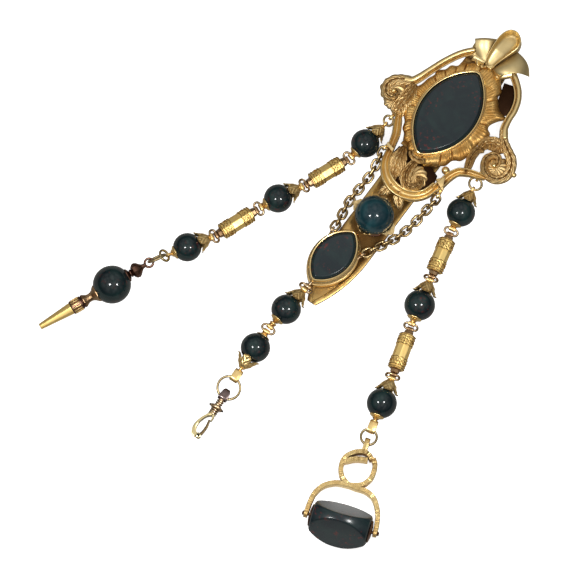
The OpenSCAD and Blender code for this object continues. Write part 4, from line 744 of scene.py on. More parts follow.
def leaf_border():
    """Border whose scallops are leaves of their own, with veins that fan from the bezel"""
    edge = smooth_loop([[x * STONE_W, y * STONE_L] for x, y in BORDER], 20)
    n = len(edge)
    far = [math.hypot(*p) - (STONE_W / 2 + abs(p[1]) * 0.3) for p in edge]
    lows = [i for i in range(n) if far[i] < far[i - 1] and far[i] <= far[(i + 1) % n]]
    profile = [(0, 1.5), (0.08, 1.95), (0.2, 1.75), (0.35, 1.72), (0.5, 1.85), (0.65, 1.8), (0.78, 1.55),
        (0.88, 1.2), (0.96, 0.8), (1, 0.45), (0.985, 0.1), (0.9, 0), (0, 0)]
    tuck = BEZEL_T - 0.35
    r = (STONE_L ** 2 + STONE_W ** 2) / (4 * STONE_W) + tuck
    c = r - tuck - STONE_W / 2

    def in_leaf(i):
        """Where step i lies in its leaf, from -1 to 1, and the leaf's width in steps"""
        end = next((low for low in lows if low > i), lows[0] + n)
        start = max((low for low in lows if low <= i), default=lows[-1] - n)
        return 2 * (i - start) / max(end - start, 1) - 1, end - start

    shares = [in_leaf(i) for i in range(n)]

    def spot(u, v):
        i = round(u * n) % n
        s, z = profile[round(v * (len(profile) - 1))]
        length = math.hypot(*edge[i])
        a = math.atan2(edge[i][1], edge[i][0])
        # The inner edge is under the bezel, along the same ray
        inner = math.sqrt(r * r - (c * math.sin(a)) ** 2) - c * abs(math.cos(a))
        d = inner + s * (length - inner)
        share, width = shares[i]
        if 0.05 < s < 0.98 and z > 0.3:
            pillow = 0.2 * (1 - share * share) - 0.3 * max(0, abs(share) - 0.86) / 0.14
            veins = 0.04 * math.cos(share * math.pi * max(3, round(width / 9)))
            z += min(1, s * 2.2) * min(1, (1 - s) * 5) * (pillow + veins)
        return Vector((d * math.cos(a), d * math.sin(a), BROOCH_Z + z))
    return shaped("border", n, len(profile) - 1, spot)


settled(leaf_border(), "leaf_border", "brooch", amber_gold, smooth=50)


# Scrolls and leaves: the sections follow the same rows as the CAD model, in finer steps
def scroll_stations(table, steps):
    return stations_along(smooth_rows([[x * SCROLL_W, y * SCROLL_L, BROOCH_Z + z * RELIEF_H, half * ROD_D,
        height * ROD_D] for x, y, z, half, height in table], steps))


def end_drawn_in(points, i, last):
    """First and last sections made smaller, so that the ends are rounded off"""
    k = {0: 0.35, 1: 0.85, last - 1: 0.85, last: 0.35}.get(i, 1)
    return [(x * k, 0.45 + (y - 0.45) * k) for x, y in points]


def scroll(name, table, section, steps=10):
    stations = scroll_stations(table, steps)[0]
    return swept(name, stations, lambda i: end_drawn_in(section, i, len(stations) - 1))


ROUND = [(cosd(18 * i), 0.5 + 0.5 * sind(18 * i)) for i in range(20)]


def ledged(side):
    """Tube with a lower ledge along the side that faces the stone"""
    ledge = [(1.05, 0.0), (1.2, 0.08), (1.25, 0.25), (1.15, 0.4), (0.9, 0.42), (0.66, 0.36)]
    tube = [(-0.25 + 0.9 * cosd(a), 0.52 + 0.52 * sind(a)) for a in range(0, 256, 15)]
    return [(side * x, y) for x, y in ledge + tube]


def trough(widen):
    """Rounded ridge along each side and a hollow between them"""
    hollow, ridge = 0.42, 0.72
    top = []
    for i in range(25):
        x = 1 - i / 12
        if abs(x) < ridge:
            y = 1 - hollow * (1 - (abs(x) / ridge) ** 2) ** 1.5
        else:
            y = ridge + 0.28 * math.sqrt(max(0, 1 - ((abs(x) - ridge) / 0.28) ** 2))
        top.append((x, y))
    foot = [(-0.94, 0.04), (-0.85, 0), (0.85, 0), (0.94, 0.04), (1, 0.35)]
    return [(x * widen, y) for x, y in foot + top + [(-1, 0.35)]]


def acanthus(name, table, veins, widen, depth=0.1, lobe=2.1):
    """Leaf with a grooved midrib, veins that run out to the edge, and a lobed edge"""
    stations, run = scroll_stations(table, 14)

    def section(i):
        ripple = abs(math.sin(math.pi * run[i] / lobe)) ** 0.7
        out = [(-0.9 * widen, 0.02), (0.9 * widen, 0.02), (widen, 0.2)]
        for k in range(37):
            x = 1 - k / 18
            away = abs(x)
            dome = 0.42 + 0.5 * (1 - away ** 2.4)
            vein = depth * wave(veins * away - run[i] / (lobe * 0.9))
            rib = -0.14 * hill(away / 0.1) + 0.06 * hill((away - 0.2) / 0.1)
            height = dome + rib + vein * min(1, 3 * away) * (1 - 0.5 * away)
            out.append((x * widen * (0.88 + 0.14 * ripple * away), height))
        return end_drawn_in(out + [(-widen, 0.2)], i, len(stations) - 1)
    return swept(name, stations, section)


def leafy_dome(x, y, r, height, curls, twist):
    """Rounded boss of curled leaf, its chased lines winding out of the middle"""
    def spot(u, v):
        s = min(v / 0.9, 1)
        line = math.cos(curls * 2 * math.pi * u + twist * 2 * math.pi * s) * min(1, 2 * s)
        z = (height * math.sqrt(max(0, 1 - 0.8 * s * s)) + 0.13 * line) * min(1, (1 - v) / 0.1)
        return Vector((x, y, BROOCH_Z + z)) + r * s * (1 + 0.05 * wave(curls * u) * s) * way(360 * u)
    return shaped("dome", 96, 24, spot)


def plate(name, outline, bottom, top, edge=0.2):
    """Flat plate over an outline, its upper edge rounded"""
    middle = sum((Vector(p) for p in outline), Vector((0, 0))) / len(outline)
    rows = [(0, bottom), (0, top - edge), (0.3 * edge, top - 0.3 * edge), (edge, top)]

    def spot(u, v):
        p = Vector(outline[round(u * len(outline)) % len(outline)])
        inset, z = rows[round(v * 3)]
        return Vector((*(p + (middle - p).normalized() * inset), z))
    return shaped(name, len(outline), 3, spot)


scrolls = [scroll(*row) for row in (("left rod", LEFT_ROD[:7], ledged(1)),
    ("left band", LEFT_BAND, trough(1.15)), ("c scroll", C_SCROLL, trough(1.55)),
    ("s scroll", S_SCROLL, trough(1.3)), ("right rod", RIGHT_ROD[:8], ledged(-1)))]
scrolls += [plate("triangle", [(9.2, -19.4), (11.2, -17.2), (12.2, -19.2), (13.1, -21.4), (11.2, -20.5)],
    BROOCH_Z, BROOCH_Z + 2.3), plate("step", [(-9.9, -18.6), (-9.6, -19.6), (-6.7, -20.4), (-6.9, -19.3)],
    BROOCH_Z, BROOCH_Z + 2.8)]
settled(joined("scrolls", scrolls), "scroll_rods", "brooch", satin_gold)

# Leaves: rows, number of veins, widening, depth of the veins, length of a lobe
leaves = [acanthus(*row) for row in (("left leaf", LEFT_LEAF, 5, 1.9),
    ("left volute", LEFT_ROD[5:], 3, 1.25, 0.08), ("leaf a", LEAF_A, 5, 1.25), ("leaf b", LEAF_B, 3.6, 1.3),
    ("tie", TIE, 2.6, 1.4), ("blade", BLADE, 3, 1.3), ("volute leaf", VOLUTE_LEAF, 5, 1.8),
    ("volute", RIGHT_ROD[6:], 3, 1.2, 0.08), ("lobe left", LOBE_LEFT, 2.6, 1.15, 0.1, 1.4),
    ("lobe right", LOBE_RIGHT, 2.6, 1.15, 0.1, 1.4))]
# Domes: x, y, radius, height, curls and how far they wind
leaves += [leafy_dome(*row) for row in ((-18.5, -3.5, 4.2, 2.3, 9, 1.6), (-14.9, -4.2, 3.2, 2, 7, 1),
    (-16.8, -6.6, 2.7, 1.8, 9, 0.8), (3, -22.8, 4.4, 1.4, 13, 1.6), (22.1, -5.7, 4.3, 1.9, 13, 1))]
settled(joined("leaves", leaves), "acanthus_leaves", "brooch", leaf_gold, smooth=60)
# Near-black plates under the openwork: painted shade in the gaps between the leaves and rods
LEAF_BACKING = [(-6.5, -17), (-7, -21), (-4.5, -25.5), (0, -27.8), (5, -27.8), (8.8, -25.5), (9.8, -22),
    (8.8, -18), (5, -16.5), (0, -17)]
SIDE_BACKING = [(8, 18.5), (11.5, 19.6), (14.4, 17.4), (15.9, 14), (16, 11.4), (14, 9.7), (12.2, 9.2),
    (10.2, 11)]
backing = [plate("backing", outline, BROOCH_Z + 0.02, BROOCH_Z + 0.5)
    for outline in (LEAF_BACKING, SIDE_BACKING)]
settled(joined("backing", backing), "painted_shade_backing_plates", "brooch", shade_backing_gold)


# Bow: ribbon ends and the loop between them, each a bent sheet with its own thickness
def ribbon(corners, bulge, thickness=0.5, pull=0.0, belly=0.0):
    """Sheet over four corners: a, b at the knot and c, d at the end, which is cut back in its middle"""
    a, b, c, d = [Vector(p) for p in corners]

    def spot(u, v):
        point = (a * (1 - u) + b * u) * (1 - v) + (d * (1 - u) + c * u) * v
        back = (a + b - c - d).normalized() * pull * (arch(u) + 0.3 * u ** 5) * v * v
        back += (b + c - a - d).normalized() * belly * arch(v) * u * u
        return point + back + Z * bulge(u, v)
    sheet = thickened(shaped("ribbon", 28, 28, spot, fill=False), thickness)
    return softened(sheet, thickness * 0.3, 50)


bow = [ribbon([(3.1, 19.6, 8.8), (6.1, 28.2, 9.4), (13.4, 24.1, 8), (6.2, 18.3, 8)],
        lambda u, v: 3.4 * arch(u ** 0.9) ** 0.7 * (0.35 + 0.65 * v) + 0.6 * arch(v), 0.4, 0.9, 1.1),
    ribbon([(-3.9, 20.1, 8.8), (-0.3, 19.9, 9.3), (-1.7, 27.9, 11.2), (-7.4, 24.1, 11)],
        lambda u, v: 1.2 * arch(u) * v + 0.5 * arch(v) - 1.3 * max(0, (v - 0.84) / 0.16) ** 2),
    ribbon([(-4.5, 18.2, 7.9), (-0.4, 19.0, 8.5), (-0.5, 20.5, 9.3), (-4.2, 20.6, 9)],
        lambda u, v: 0.5 * arch(v)),
    ribbon([(-5.3, 18.7, 7.3), (-4.0, 20.2, 8.6), (-6.4, 24.6, 10.6), (-6.7, 22.1, 8.6)],
        lambda u, v: 0.3 * arch(u))]


def bow_loop():
    """Teardrop tray: rounded rim round a hollow that deepens towards its far end"""
    outline = smooth_loop([(1.6, 18.8), (0.1, 19.4), (-0.75, 21.4), (-1.15, 24.3), (-1.25, 27),
        (-1.05, 29.2), (-0.3, 31.3), (1, 32.6), (2.8, 32.9), (4.7, 31.9), (5.7, 30.4), (5.9, 28.3),
        (5, 25.6), (3.9, 22.9), (3.1, 20.8), (2.7, 19.3)], 8)
    # Rows from the foot over the rim to the spine: share of the way in, and share of the height
    rows = [(-0.04, 0), (0, 0.5), (0, 0.8), (0.02, 0.93), (0.05, 1), (0.1, 1.01), (0.15, 0.96), (0.21, 0.87),
        (0.3, 0.77), (0.42, 0.7), (0.6, 0.66), (0.8, 0.65), (0.97, 0.65)]

    def spot(u, v):
        x, y = outline[round(u * len(outline)) % len(outline)]
        s, z = rows[round(v * (len(rows) - 1))]
        # The spine that the surface closes on runs up the middle of the teardrop
        t = 0.5 + (clamp((y - 20.5) / 9) - 0.5) * min(1, (1 - s) / 0.4)
        point = Vector((x, y, 0)).lerp(Vector((1.6 + 0.9 * t, 21 + 8.2 * t, 0)), s)
        rise = max(0, (point.y - 19) / 14)
        top = 10.3 + 3.3 * arch(min(1, rise) * 0.62)
        bottom = BROOCH_Z + 1.6 + 1.2 * rise
        hollow = 3.6 * max(0, rise - 0.42) * clamp((s - 0.12) / 0.2)
        return Vector((point.x, point.y, bottom + (top - bottom) * z - hollow))
    return shaped("bow loop", len(outline), len(rows) - 1, spot)


settled(joined("bow", bow + [bow_loop()]), "ribbon_bow", "brooch", bow_gold, smooth=45)
BEDS = (
    ([[-0.01, 0.3, 0.1, 0.8, 1], [-0.04, 0.34, 0.2, 1.2, 0.8], [-0.08, 0.375, 0.3, 1.2, 0.7]], trough(1)),
    ([[0.04, 0.32, 0.2, 1, 1.1], [0.055, 0.4, 0.4, 1.1, 1.2], [0.065, 0.47, 0.6, 1, 1.1]], ROUND),
    ([[0.1, 0.31, 0.1, 1, 1.2], [0.16, 0.35, 0.3, 1.1, 1.1], [0.21, 0.39, 0.4, 1.1, 1]], ROUND))
knot = [scroll("bed", table, section, 6) for table, section in BEDS] + [
    plate("knot lozenge", [(1.3, 19.2), (2.2, 20.6), (3.1, 20.2), (2.4, 18.7)], 8, 10.3)]
settled(joined("knot", knot), "bow_knot", "brooch", satin_gold)


def button(d):
    r = d / 2
    return turned("button", [(-r, 0.75 * r), (-0.4 * r, 0.95 * r), (0, r), (0.35 * r, 0.93 * r),
        (0.65 * r, 0.74 * r), (0.86 * r, 0.48 * r), (0.97 * r, 0.2 * r)], 24)


def lug(spot, heading, foot):
    """Upright eye on a foot that reaches back into its piece"""
    outer, hole, thick = 2.3, 1.3, 0.8
    section = bar_section(thick / 2, (outer - hole) / 4, 0.12)
    eye = swept("eye", ring_stations((outer + hole) / 4), section, True)
    stations = straight((-0.75, 1)) + [(Vector((-foot - 0.4, 0, 0.3)), Y, 0.8 * Z)]
    stem = swept("stem", stations, bar_section(thick / 2, 0.75, 0.15))
    return moved(joined("lug", [eye, stem]), at(spot, heading))


lugs = [moved(button(d * ROD_D), shift(x * SCROLL_W, y * SCROLL_L, BROOCH_Z + z * RELIEF_H))
    for x, y, z, d in BUTTONS]
lugs += [lug(*row) for row in ((left_lug, LEFT_UNITS[0][1], 2), (right_lug, RIGHT_UNITS[0][1], 2),
    (left_eye, -100, 2.6), (right_eye, -84, 3.2))]
settled(joined("lugs", lugs), "buttons_and_lugs", "brooch", bright_gold)


def belt_hook():
    """One strip from the pointed tip, round the bend and back behind the brooch"""
    lip, lip_slope, sunk = 1.5, 0.25, 0.16
    side = (HOOK_W - HOOK_TIP) / 2
    arc_r = (HOOK_TAPER ** 2 + side ** 2) / (2 * side)
    hook_end = HOOK_BEND_Y - HOOK_L
    taper = asind(HOOK_TAPER / arc_r)
    r = (HOOK_T + BELT_GAP + HOOK_TOP_T) / 2
    half = HOOK_W / 2
    # Rows of y, z, the angle that the strip has bent through, half its width, and its thickness
    rows = [(hook_end - arc_r * sind(a), 0, 0, half - arc_r * (1 - cosd(a)), HOOK_T)
        for a in (taper * i / 24 for i in range(24, 0, -1))]
    rows += [(hook_end + (HOOK_BEND_Y - hook_end) * k / 12, 0, 0, half, HOOK_T) for k in range(13)]
    rows += [(HOOK_BEND_Y + r * sind(180 * i / 16), r - r * cosd(180 * i / 16), 180 * i / 16, half,
        HOOK_T + (HOOK_TOP_T - HOOK_T) * i / 16) for i in range(1, 17)]
    rows += [(HOOK_BEND_Y - HOOK_TOP_L * k / 6, 2 * r, 180, half, HOOK_TOP_T) for k in range(1, 7)]

    def spot(u, v):
        y, z, a, half, thick = rows[round(v * (len(rows) - 1))]
        rim, inside = max(half - lip, 0), max(half - lip - lip_slope, 0)
        dip = sunk if inside > 0.1 else 0
        edge = [(half, 0.15), (half, thick - 0.3), (half - 0.12, thick - 0.1), (half - 0.35, thick),
            (rim, thick - 0.02), (inside, thick - dip)]
        section = [(-half + 0.15, 0), (half - 0.15, 0)] + edge + [(0, thick - dip)]
        section += [(-x, up) for x, up in edge[::-1]]
        x, up = section[round(u * len(section)) % len(section)]
        return Vector((x, y - up * sind(a), z + up * cosd(a)))
    return shaped("belt hook", 15, len(rows) - 1, spot)


settled(belt_hook(), "belt_hook_plate", "belt_hook", hook_gold, smooth=30)


def bead(d):
    """Sphere with its poles opened into a bore along X"""
    segments, rings, r = 64, 40, d / 2
    pick(None)
    bpy.ops.mesh.primitive_uv_sphere_add(segments=segments, ring_count=rings, radius=r)
    piece = added("bead")
    edit(piece, lambda spot: abs(spot.z) > 0.9999 * r)
    bpy.ops.mesh.delete(type="VERT")
    bpy.ops.mesh.select_all(action="DESELECT")
    bpy.ops.mesh.select_non_manifold()
    wide = BEAD_BORE / 2 / (r * sind(180 / rings))
    bpy.ops.transform.resize(value=(wide, wide, 1), center_override=(0, 0, 0))
    bpy.ops.mesh.bridge_edge_loops()
    return moved(face_out(piece), turn(90, "Y"))


# Boss: its bead is flat below, where it sits
pick(None)
bpy.ops.mesh.primitive_uv_sphere_add(segments=80, ring_count=50, radius=1.03 * BOSS_R)
boss = added("boss bead")
edit(boss)
bpy.ops.mesh.bisect(plane_co=(0, 0, -0.93 * BOSS_R), plane_no=(0, 0, 1), use_fill=True, clear_inner=True)
settled(face_out(boss), "boss_bead_polished", "boss_bead", boss_stone, shift(*BOSS_AT))


def boss_claw(tip):
    """Leaf that wraps the bead's side, with a midrib and veins, and a tip that stands off a little"""
    widths = smooth_rows([[0.1, 0.34], [0.25, 0.4], [0.4, 0.42], [0.55, 0.4], [0.66, 0.28], [0.72, 0.08]], 5)

    def spot(u, v):
        share, half = widths[round(v * (len(widths) - 1))]
        x = 2 * u - 1
        away = abs(x)
        height = HOOK_T + 0.4 + min(share, 0.46 + 0.15 * (share - 0.46)) * 2 * BOSS_R - BOSS_AT.z
        tilt = asind(max(-1, min(1, height / (BOSS_R + 0.3))))
        across = x * half * BOSS_R * (1 + 0.1 * abs(math.sin(v * 4 * math.pi)) * away)
        vein = 0.09 * wave(2.2 * away - 4 * v) * min(1, 3 * away)
        rib = 0.16 * hill(x / 0.16)
        out = BOSS_R + 0.52 + vein + rib + tip * max(0, v - 0.6) / 0.4 - 0.12 * away ** 3
        return out * way(math.degrees(across / max(BOSS_R * cosd(tilt), 0.5)), tilt)
    return thickened(shaped("claw", 24, 25, spot, fill=False), 0.36)


claws = [moved(boss_claw(tip), shift(*BOSS_AT) @ turn(a, "Z"))
    for a, tip in ((-8, 1.8), (90, 0.5), (180, 1.4), (270, 0.4))]
settled(joined("boss", claws), "boss_leaf_claws", "boss_setting", leaf_gold, smooth=60)
# The seat is dark brown as painted shade under the boss bead
seat = [(z, share * BOSS_R) for z, share in ((GAP, 0.84), (0.35, 0.86), (0.6, 0.82), (0.7, 0.72),
    (1.6, 0.66), (2.4, 0.7))]
seat = moved(turned("seat", seat, 64, HOOK_T), shift(BOSS_AT.x, BOSS_AT.y))
settled(seat, "boss_seat", "boss_setting", browned_and_shade_gold, smooth=60)

# Pendant: stepped case, stone, lug below and an eye on each side
case = oval_rings("case", PENDANT_L, PENDANT_W, PEND_Z, [(-1, 0), (1.4, 0), (1.5, 0.15), (1.5, 1.7),
    (1.42, 1.95), (1.25, 2.05), (1.12, 2.1), (1.08, 2.25), (1.18, 2.45), (1.2, 2.65), (1.1, 2.85),
    (1.02, 2.95), (1.02, 3.15), (1.12, 3.3), (1.14, 3.5), (1.02, 3.7), (0.85, 3.78), (0.76, 3.9),
    (0.74, 4.5), (0.68, CASE_H - 0.15), (0.5, CASE_H), (0.3, CASE_H), (0.14, CASE_H - 0.12),
    (0.08, CASE_H - 0.35), (0.08, CASE_H - 1.5), (-1, CASE_H - 1.6)], PENDANT_TIP)
settled(case, "pendant_case_rim", "pendant_case", bright_gold, pend_place)
pendant_stone = oval_rings("pendant stone", PENDANT_L, PENDANT_W, PEND_Z + CASE_H + 0.2 + GAP, [
    (-1, -PEND_H), (0, -PEND_H), (0, -0.68), (-0.05, -0.56), (-0.72, -0.07), (-0.82, -0.01),
    (-0.95, 0)], PENDANT_TIP)
settled(pendant_stone, "pendant_stone_polished", "pendant_stone", table_stone, pend_place)


def knuckle(x=0, outer=KNUCKLE_D, hole=KNUCKLE_HOLE, length=KNUCKLE_L):
    """Short tube across the strand"""
    section = bar_section(length / 2, (outer - hole) / 4, 0.08)
    return moved(swept("knuckle", ring_stations((outer + hole) / 4), section, True), shift(x))


def neck(start, end, r=0.36 * KNUCKLE_D):
    """Round bar along X"""
    e = 0.06
    return lathed("neck", [(start, r - e), (start + e, r), (end - e, r), (end, r - e)], 24)


def pin(r):
    """Pin through a bead of radius r, into the fittings at both ends"""
    return neck(-r - PIN_OVER, r + PIN_OVER, PIN_R)


def mirrored(*rows):
    """Rows of a turned solid and their mirror image below"""
    return [(-z, r) for z, r in rows[::-1]] + list(rows)


def seated(r, radii):
    """Rows that follow a bead of radius r, as heights above its end"""
    return [(math.sqrt((r + 0.05) ** 2 - q * q) - r, q) for q in radii]


lug_place = pend_place @ shift(z=pend_lug_z) @ turn(-90, "Z")
eyes = [moved(part, lug_place) for part in (knuckle(pend_lug), neck(pend_lug - 1.9, pend_lug - 0.55, 0.56))]
for side in (-1, 1):
    eye_place = pend_place @ shift(side * pend_eye_x, pend_eye_y, pend_eye_z) @ turn(90 - side * 12, "Z")
    stem = swept("stem", straight((-4, 1), (-1, 1)), bar_section(0.35, 0.55, 0.15))
    eyes += [moved(part, eye_place) for part in (knuckle(0, 2.3, 1.5, 0.7), stem)]
settled(joined("eyes", eyes), "pendant_lug_and_eyes", "pendant_case", link_gold)


def chain(route):
    """Links along a smooth route, every other one turned on its side"""
    path = [Vector(p) for p in smooth_rows([list(p) for p in route], 6)]
    total = [0]
    for p, q in zip(path, path[1:]):
        total.append(total[-1] + (q - p).length)

    def along(s):
        i = max(k for k in range(len(total) - 1) if total[k] <= max(s, 0))
        return path[i] + (path[i + 1] - path[i]) * ((s - total[i]) / (total[i + 1] - total[i]))
    end, bend = (CHAIN_L - CHAIN_WIRE) / 2, (CHAIN_W - CHAIN_WIRE) / 2
    length = total[-1] - 2 * end
    count = 2 * math.ceil(length / (0.6 * CHAIN_L) / 2) + 1
    model = drawn_out(hoop("link", 1.05 * bend, 1.3 * CHAIN_WIRE, 28, 12), 0, 2 * (end - bend))
    links = []
    for i in range(count):
        s = end + i * length / (count - 1)
        a, b = along(s - end), along(min(s + end, total[-1] - 0.001))
        d = b - a
        tilt = math.degrees(math.atan2(d.z, math.hypot(d.x, d.y)))
        links.append(copied(model, at((a + b) / 2, math.degrees(math.atan2(d.y, d.x)), tilt, 90 * (i % 2))))
    bpy.data.objects.remove(model)
    return joined("chain", links)


for side, route in (("left", LEFT_ROUTE), ("right", RIGHT_ROUTE)):
    settled(chain(route), side + "_chain_links", side + "_chain", chain_gold, smooth=60)


# Strand fittings
def leaf_cap(r):
    """Four leaves rolled back over the bead from a narrow collar, along +Z"""
    h = CAP_OVER - 0.6
    profile = smooth_rows([[r + h, 0.7], [r + 0.93 * h, 1.0], [r + 0.8 * h, 1.35], [r + 0.62 * h, 1.7],
        [r + 0.38 * h, 2.15], [r + 0.1 * h, 2.65], [0.94 * r, 2.95], [0.87 * r, 3.2]], 6)

    def spot(u, v):
        w = ((360 * u + 45) % 90 - 45) / 45
        away = abs(w)
        q = v * (1 - 0.38 * away ** 2.2)
        x = q * (len(profile) - 1)
        i = min(int(x), len(profile) - 2)
        z, radius = [p + (n - p) * (x - i) for p, n in zip(profile[i], profile[i + 1])]
        relief = 0.14 * hill(w / 0.1) + 0.3 * (1 - w * w) - 0.15 + 0.09 * wave(1.8 * away - 4 * q)
        collar = 0.1 if 0.08 < q < 0.16 else 0
        radius += clamp((q - 0.25) / 0.2) * relief + 0.22 * max(0, (q - 0.82) / 0.18) ** 1.5 + collar
        # Leaves narrow and round off towards their tips
        pull = w * (1 - 0.22 * max(0, q - 0.5) / 0.5)
        return radius * way(45 * (pull + 2 * math.floor((360 * u + 45) / 90))) + z * Z
    shell = thickened(closed_up(shaped("cap", 128, 34, spot, fill=False), fill=False), 0.26)
    collar = turned("collar", [(0.62 * h, 0.7), (0.9 * h, 0.75), (h + 0.02, 0.72), (h + 0.1, 0.62)], 32, r)
    return joined("cap", [shell, collar])


def cup(r, over):
    """Small cup over the other end of the bead's bore; a long one ends in a ball"""
    rows = seated(r, (0.6, 1, 1.4, 1.8, 0.46 * r)) + [(-0.08 * r, 0.49 * r), (-0.05 * r, 0.49 * r),
        (-0.02 * r, 0.455 * r), (0.1, 1.75), (0.2, 1.45), (0.42, 1.2), (0.6, 1.02), (0.68, 1.06),
        (0.78, 0.95), (0.82, 0.7)]
    piece = turned("cup", rows, 48, r)
    if over > CUP_OVER + 1:
        ball = turned("ball", [(0, 0.6), (0.08, 0.95), (0.35, 1.15), (0.6, 1.12), (0.9, 0.85), (1, 0.6)], 32,
            r + CUP_OVER - 0.35)
        piece = joined("cup", [piece, ball])
    return piece


def strap(length, width, taper=0.0):
    """Band bent into a long loop, from x = 0 to its length; a taper narrows it to a dome at x = 0"""
    r = (STRAP_H - STRAP_T) / 2
    stations = []
    for i in range(32):
        out = way(0, 360 * i / 32)
        middle = length - STRAP_T / 2 - r if out.x > -1e-6 else STRAP_T / 2 + r
        stations.append((middle * X + r * out, Y, out))

    def section(i):
        share = max(0, 1 - stations[i][0].x / (0.55 * length))
        return bar_section(width / 2 * math.sqrt(1 - taper * share * share), STRAP_T / 2, 0.1)
    return swept("strap", stations, section, True)


def fitting_end(kind, x, r):
    """Joint at the end of a fitting and the neck that carries it"""
    if kind == STRAP:
        near = x + RING_WIRE / 2 + STRAP_PLAY + STRAP_T - STRAP_L
        return [moved(strap(STRAP_L, STRAP_W), shift(near)), neck(r + 0.3, near + 0.2)]
    if kind == EYE:
        return [knuckle(x, RING_HOLE + 0.8, RING_HOLE, EYE_T), neck(r + 0.3, x - 0.6)]
    return [knuckle(x), neck(r + 0.3, x - 0.55)]


cap_model = leaf_cap(BEAD_D / 2)


def fitting(u, cap_first, first, last):
    r = u[2] * BEAD_D / 2
    side = -90 if cap_first else 90
    cap = copied(cap_model, turn(side, "Y") @ Matrix.Scale(u[2], 4))
    opposite = moved(cup(r, u[AFTER if cap_first else BEFORE]), turn(-side, "Y"))
    ends = [moved(part, turn(180, "Z")) for part in fitting_end(first, reach(u, BEFORE), r)]
    ends += fitting_end(last, reach(u, AFTER), r)
    return joined("fitting", [cap, opposite, pin(r)] + ends)


def barrel(u):
    """Eight-sided barrel: engraved lines, tube, two bands, and the plugs and knuckles at its ends"""
    half = u[2] * BARREL_L / 2
    wide = 1.04 * BARREL_D / 2

    def facet(a):
        return min(wide / cosd(a % 45 - 22.5), wide / cosd(22.5) - 0.06)

    def engraved(x, swing, waves, sine=False):
        """Dark line round the barrel: a zigzag, or a running wave"""
        stations, steps, above = [], 112, 0.17
        for i in range(steps):
            share = i * waves / steps
            step = math.sin(2 * math.pi * share) if sine else 2 * abs(2 * (share % 1) - 1) - 1
            a = 360 * i / steps
            stations.append((way(90, a) * (facet(a) + above) + (x + swing * step) * X, X, way(90, a)))
        return swept("line", stations, bar_section(0.11, 0.07, 0.02), True)

    def band(middle):
        def spot(u_share, v):
            a = 360 * u_share
            across = 2 * v - 1
            x = middle + across * (BARREL_BAND / 2 + 0.35)
            edge = 1 - abs(across)
            lift = 0.14 if edge > 0.05 else -0.1
            if edge >= 0.3:
                lift = 0.1 + 0.06 * math.sin(a * 0.14 + 3 * x) * math.cos(3.6 * x + 1.4 * math.sin(a * 0.1))
            return x * X + (facet(a) + lift) * way(90, a)
        return shaped("band", 128, 36, spot)

    tube = swept("tube", straight((-half, 0.95), (-half + 0.1, 1), (half - 0.1, 1), (half, 0.95)),
        [(facet(a) * cosd(a), facet(a) * sind(a)) for a in range(0, 360, 3)])
    bands, lines = [], [engraved(-half + 0.35, 0, 8), engraved(half - 0.35, 0, 8)]
    for s in (-1, 1):
        middle = s * (half - 1.15 - BARREL_BAND / 2)
        lines += [engraved(middle + side * BARREL_BAND, 0.22, 8) for side in (-0.52, 0.52)]
        lines.append(engraved(middle, 0.5, 16, True))
        bands.append(band(middle))
    plug = lathed("plug", mirrored(*((half + x, radius) for x, radius in ((0.1, 1.9), (0.3, 1.5),
        (1.25, 1.4), (1.35, 1.2)))), 8)
    end = half + BARREL_END
    ends = [neck(-end + 0.3, end - 0.3), plug, knuckle(-end), knuckle(end)]
    return joined("lines", lines), tube, joined("bands", bands), joined("barrel ends", ends)


BARREL_PARTS = (("lines", line_gold, 38), ("facets", barrel_gold, 12), ("engraved", band_gold, 30),
    ("ends", waist_gold, 38))
link_model = moved(drawn_out(hoop("strand link", LINK_PITCH / 2, 1.3 * LINK_WIRE, 40, 14), 1, LINK_BAR),
    shift(LINK_PITCH / 2))


def dress_strand(side, units, places, links, ends):
    """Pieces of a strand; the ends say for each bead if its cap comes first, and its two joints"""
    beads = barrels = 0
    for u, place in zip(units, places):
        if u[0] == BEAD:
            beads += 1
            name = f"{side}_bead_{beads}"
            settled(bead(u[2] * BEAD_D), name + "_polished", name, bloodstone, place)
            settled(fitting(u, *ends[beads - 1]), f"{side}_leaf_cap_{beads}", f"{side}_fitting_{beads}",
                cap_gold, place, smooth=50)
        else:
            barrels += 1
            name = f"{side}_barrel_{barrels}"
            for part, (ending, material, smooth) in zip(barrel(u), BARREL_PARTS):
                settled(part, f"{name}_{ending}", name, material, place, smooth=smooth)
    for i, place in enumerate(links, 1):
        name = f"{side}_link_{i}"
        settled(copied(link_model), name + "_bar", name, link_gold, place, smooth=60)


FIRST, MIDDLE = (True, EYE, KNUCKLE), (True, KNUCKLE, KNUCKLE)
dress_strand("left", LEFT_UNITS, left_at, left_links, [FIRST, MIDDLE, (True, KNUCKLE, EYE)])
dress_strand("right", RIGHT_UNITS, right_at, right_links, [FIRST, MIDDLE, (True, KNUCKLE, STRAP)])
dress_strand("centre", CENTRE_UNITS, centre_at, centre_links, [MIDDLE, (False, KNUCKLE, STRAP)])
bpy.data.objects.remove(link_model)
bpy.data.objects.remove(cap_model)

